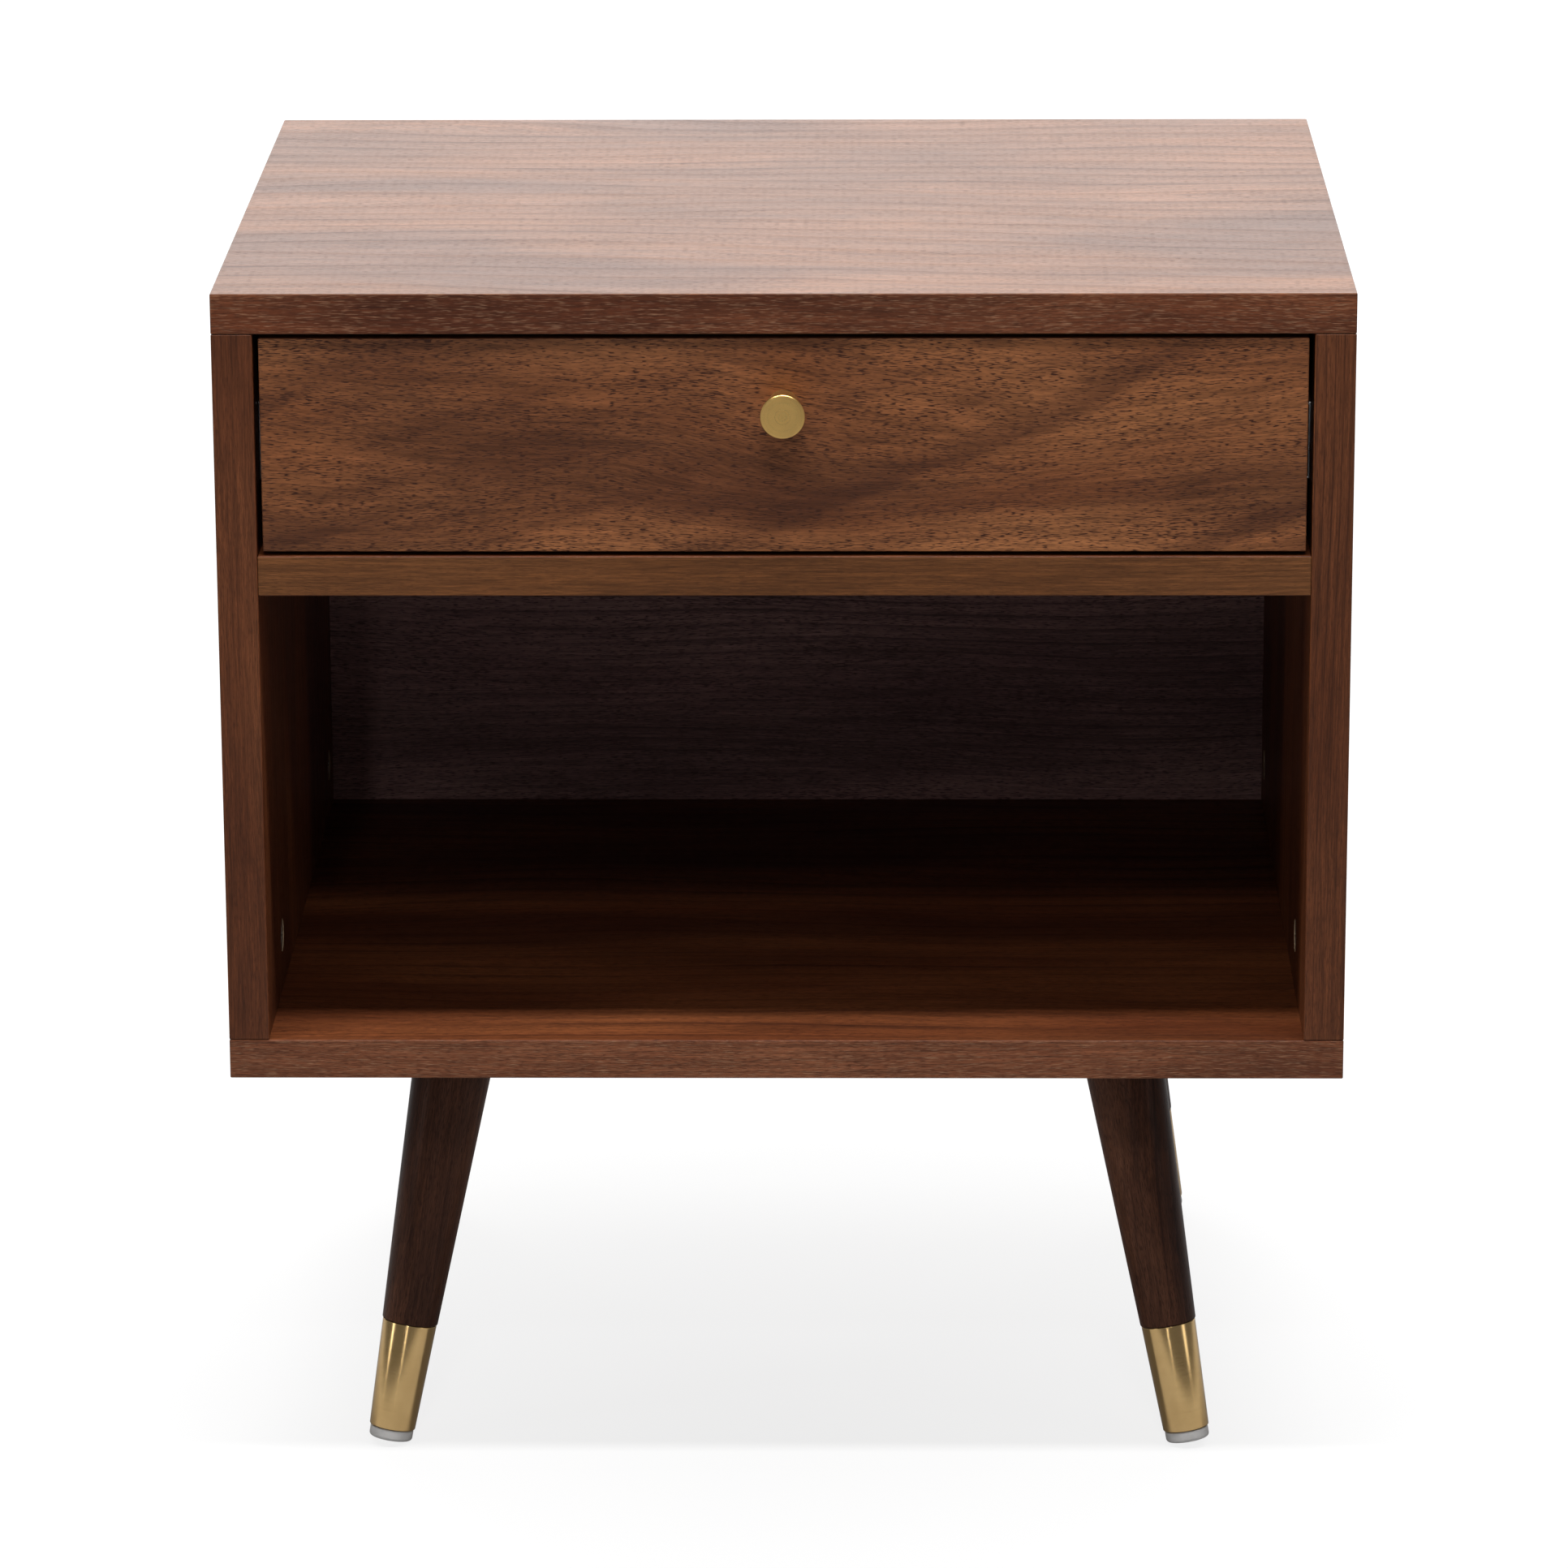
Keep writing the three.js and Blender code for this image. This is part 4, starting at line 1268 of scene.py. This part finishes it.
beech_dark = (0.30, 0.17, 0.09)
beech_middle = (0.56, 0.38, 0.22)
beech_light = (0.66, 0.47, 0.30)
dowel_taper_length = 1.2 * MM
dowel_taper_depth = 0.8 * MM
beech = wood(
    "plain beech", X, Z, (8.1, 0.2, 0.7), beech_dark, beech_middle, beech_light,
    rings=200.0, wander=0.2, pores=0.3, roughness=0.7,
)
for name in (f"{hand}_{end}_shelf_dowel" for hand in ("left", "right") for end in ("front", "rear")):
    low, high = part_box(name)
    dowel_radius = (high.z - low.z) / 2
    dowel_length = high.x - low.x
    dowel_outline = [
        (0, 0),
        (dowel_radius - dowel_taper_depth, 0),
        (dowel_radius, dowel_taper_length),
        (dowel_radius, dowel_length - dowel_taper_length),
        (dowel_radius - dowel_taper_depth, dowel_length),
        (0, dowel_length),
    ]
    dowel = turned(
        f"beech_{name}", dowel_outline, beech, (low.x, (low.y + high.y) / 2, (low.z + high.z) / 2),
        math.pi / 2, 0.0, sides=32,
    )
    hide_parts(name)
    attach(dowel, "cabinet")

# ---- Drawer slides ----
# Three channels of zinc-plated steel a side, rolled from strip with slots punched in their webs: one
# screwed to the cabinet, one to the drawer, and one that runs between them on balls.
rail_edge = 0.4 * MM
screw_spots = (37 * MM, 165 * MM, 293 * MM)
# Each slot is its place along the channel, half its straight length, and the radius of its ends.
web_slots = {
    "cabinet": [(spot, 0.0, 2.1 * MM) for spot in screw_spots]
    + [(70 * MM, 9 * MM, 2.6 * MM), (128 * MM, 9 * MM, 2.6 * MM), (230 * MM, 14 * MM, 2.6 * MM)],
    "middle": [(60 * MM, 16 * MM, 4.5 * MM), (175 * MM, 26 * MM, 4.5 * MM), (300 * MM, 16 * MM, 4.5 * MM)],
    "drawer": [(spot, 0.0, 2.1 * MM) for spot in screw_spots]
    + [(100 * MM, 7 * MM, 2.4 * MM), (225 * MM, 7 * MM, 2.4 * MM), (330 * MM, 3 * MM, 2.4 * MM)],
}


def punched(piece, slots, across, height, front):
    """Cuts round-ended slots along Y through an upright web at across."""
    cutter = bmesh.new()
    for along, half_length, radius in slots:
        ends = arc((half_length, 0), radius, -90, 90, 10) + arc((-half_length, 0), radius, 90, 270, 10)
        ring = [cutter.verts.new((across - 4 * MM, front + along + y, height + z)) for y, z in ends]
        face = cutter.faces.new(ring)
        pulled = bmesh.ops.extrude_face_region(cutter, geom=[face])["geom"]
        moved = [part for part in pulled if isinstance(part, bmesh.types.BMVert)]
        bmesh.ops.translate(cutter, vec=(8 * MM, 0, 0), verts=moved)
    bmesh.ops.remove_doubles(cutter, verts=cutter.verts, dist=1e-6)
    bmesh.ops.recalc_face_normals(cutter, faces=cutter.faces)
    cut_with(piece, tool_object(cutter, "punch"), "punched slots")


member_bodies = {"cabinet": "cabinet", "middle": "slide_carriage", "drawer": "drawer"}
web_middles = {"cabinet": 0.7 * MM, "middle": 4.1 * MM, "drawer": 12.0 * MM}
slide_low, slide_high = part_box("right_slide_cabinet_member")
slide_height = (slide_low.z + slide_high.z) / 2
slide_wall_face = slide_high.x + 0.1 * MM
hands = {"left": -1, "right": 1}
for hand, sign in hands.items():
    for member, body in member_bodies.items():
        rail = softened(f"{hand}_slide_{member}_member", f"zinc_{hand}_{member}_rail", zinc, rail_edge)
        web = sign * (slide_wall_face - web_middles[member])
        punched(rail, web_slots[member], web, slide_height, slide_low.y)
        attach(rail, body)

# ---- Slide screws ----
# Flat-headed wood screws hold the outer channels to the cabinet's sides and the inner ones to the
# drawer's sides, their heads low enough for the next channel to pass.
low_head_height = 0.8 * MM
web_faces = {"cabinet": 1.3 * MM, "drawer": 11.4 * MM}
slide_screw_seed = 11
low_head = [(0, 0), (2.3 * MM, 0.1 * MM), (3 * MM, low_head_height)]
low_screw = screw_model("low head", low_head, 1.6 * MM, 11 * MM, zinc)
cross_cut(low_screw, Vector((0, 0, 0)), (0, 0, 1), 0.8 * MM, 3 * MM, 0.55 * MM)
for hand, sign in hands.items():
    for member, way in (("cabinet", 1), ("drawer", -1)):
        across = sign * (slide_wall_face - (web_faces[member] + way * low_head_height))
        places = [(across, slide_low.y + spot, slide_height) for spot in screw_spots]
        fixed_screws(
            f"{hand}_slide_{member}_screws", low_screw, places, (-sign * way, 0, 0), slide_screw_seed, zinc,
            member_bodies[member],
        )
bpy.data.objects.remove(low_screw)

# ---- Slide balls and cages ----
# Rows of hardened steel balls between the channels' flanges, spaced by a folded steel cage. The
# outer rows lie in the rear half and the inner rows in front, so that they stay inside at full travel.
ball_radius = 1.35 * MM
ball_pitch = 6.6 * MM
balls_in_row = 24
cage_thickness = 0.5 * MM
cage_end = 4 * MM
ball_sets = {
    "outer": {"start": 187 * MM, "height": 14.9 * MM, "ball": 7.3 * MM, "web": 2.65 * MM, "tip": 9.6 * MM},
    "inner": {"start": 8 * MM, "height": 10.9 * MM, "ball": 9.0 * MM, "web": 5.6 * MM, "tip": 10.4 * MM},
}


def ball_rows_tree():
    """Rows of balls along Y, each row starting at one of the points given."""
    tree, given = new_tree(
        "ball rows",
        "GeometryNodeTree",
        {"Starts": "Geometry", "Balls": "Int", "Pitch": "Float", "Radius": "Float", "Finish": "Material"},
        {"Rows": "Geometry"},
    )
    step = node(tree, "ShaderNodeCombineXYZ", {"Y": given["Pitch"]}).outputs[0]
    row = node(tree, "GeometryNodeMeshLine", {"Count": given["Balls"], "Offset": step})
    rows = node(
        tree, "GeometryNodeInstanceOnPoints", {"Points": given["Starts"], "Instance": row.outputs[0]}
    )
    points = node(tree, "GeometryNodeRealizeInstances", {"Geometry": rows.outputs[0]})
    ball = node(tree, "GeometryNodeMeshIcoSphere", {"Radius": given["Radius"], "Subdivisions": 2})
    balls = node(
        tree, "GeometryNodeInstanceOnPoints", {"Points": points.outputs[0], "Instance": ball.outputs[0]}
    )
    return finished_tree(tree, balls, given["Finish"], "Rows")


def folded_strip(name, outline, start, end, finish):
    """Thin strip folded to an outline of (x, z) points, running along Y."""
    vertices = [(x, y, z) for y in (start, end) for x, z in outline]
    count = len(outline)
    faces = [(i, i + 1, count + i + 1, count + i) for i in range(count - 1)]
    piece = mesh_object(name, vertices, faces)
    piece.data.materials.append(finish)
    fold = piece.modifiers.new("folds", "BEVEL")
    fold.limit_method = "ANGLE"
    fold.width = 0.5 * MM
    fold.segments = 3
    wall = piece.modifiers.new("sheet", "SOLIDIFY")
    wall.thickness = cage_thickness
    wall.offset = 0
    made_plain(piece)
    return smoothed(piece)


ball_rows = ball_rows_tree()
ball_steel = plated_metal("polished ball steel", (0.66, 0.66, 0.67), (0.55, 0.55, 0.56), 0.16)
cage_steel = plated_metal("dull cage steel", (0.34, 0.35, 0.36), (0.24, 0.25, 0.26), 0.4)
for hand, sign in hands.items():
    for place, sizes in ball_sets.items():
        start = slide_low.y + sizes["start"]
        across = {key: sign * (slide_wall_face - sizes[key]) for key in ("ball", "web", "tip")}
        starts = [(across["ball"], start, slide_height + way * sizes["height"]) for way in (-1, 1)]
        balls = mesh_object(f"{hand}_{place}_slide_balls", starts, [])
        shaped(
            balls, ball_rows, Balls=balls_in_row, Pitch=ball_pitch, Radius=ball_radius, Finish=ball_steel
        )
        smoothed(balls, 80)
        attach(balls, "slide_carriage")
        top_wing, low_wing = slide_height + sizes["height"], slide_height - sizes["height"]
        tip, web = across["tip"], across["web"]
        cage = folded_strip(
            f"{hand}_{place}_ball_cage",
            [(tip, top_wing), (web, top_wing), (web, low_wing), (tip, low_wing)],
            start - cage_end,
            start + (balls_in_row - 1) * ball_pitch + cage_end,
            cage_steel,
        )
        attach(cage, "slide_carriage")
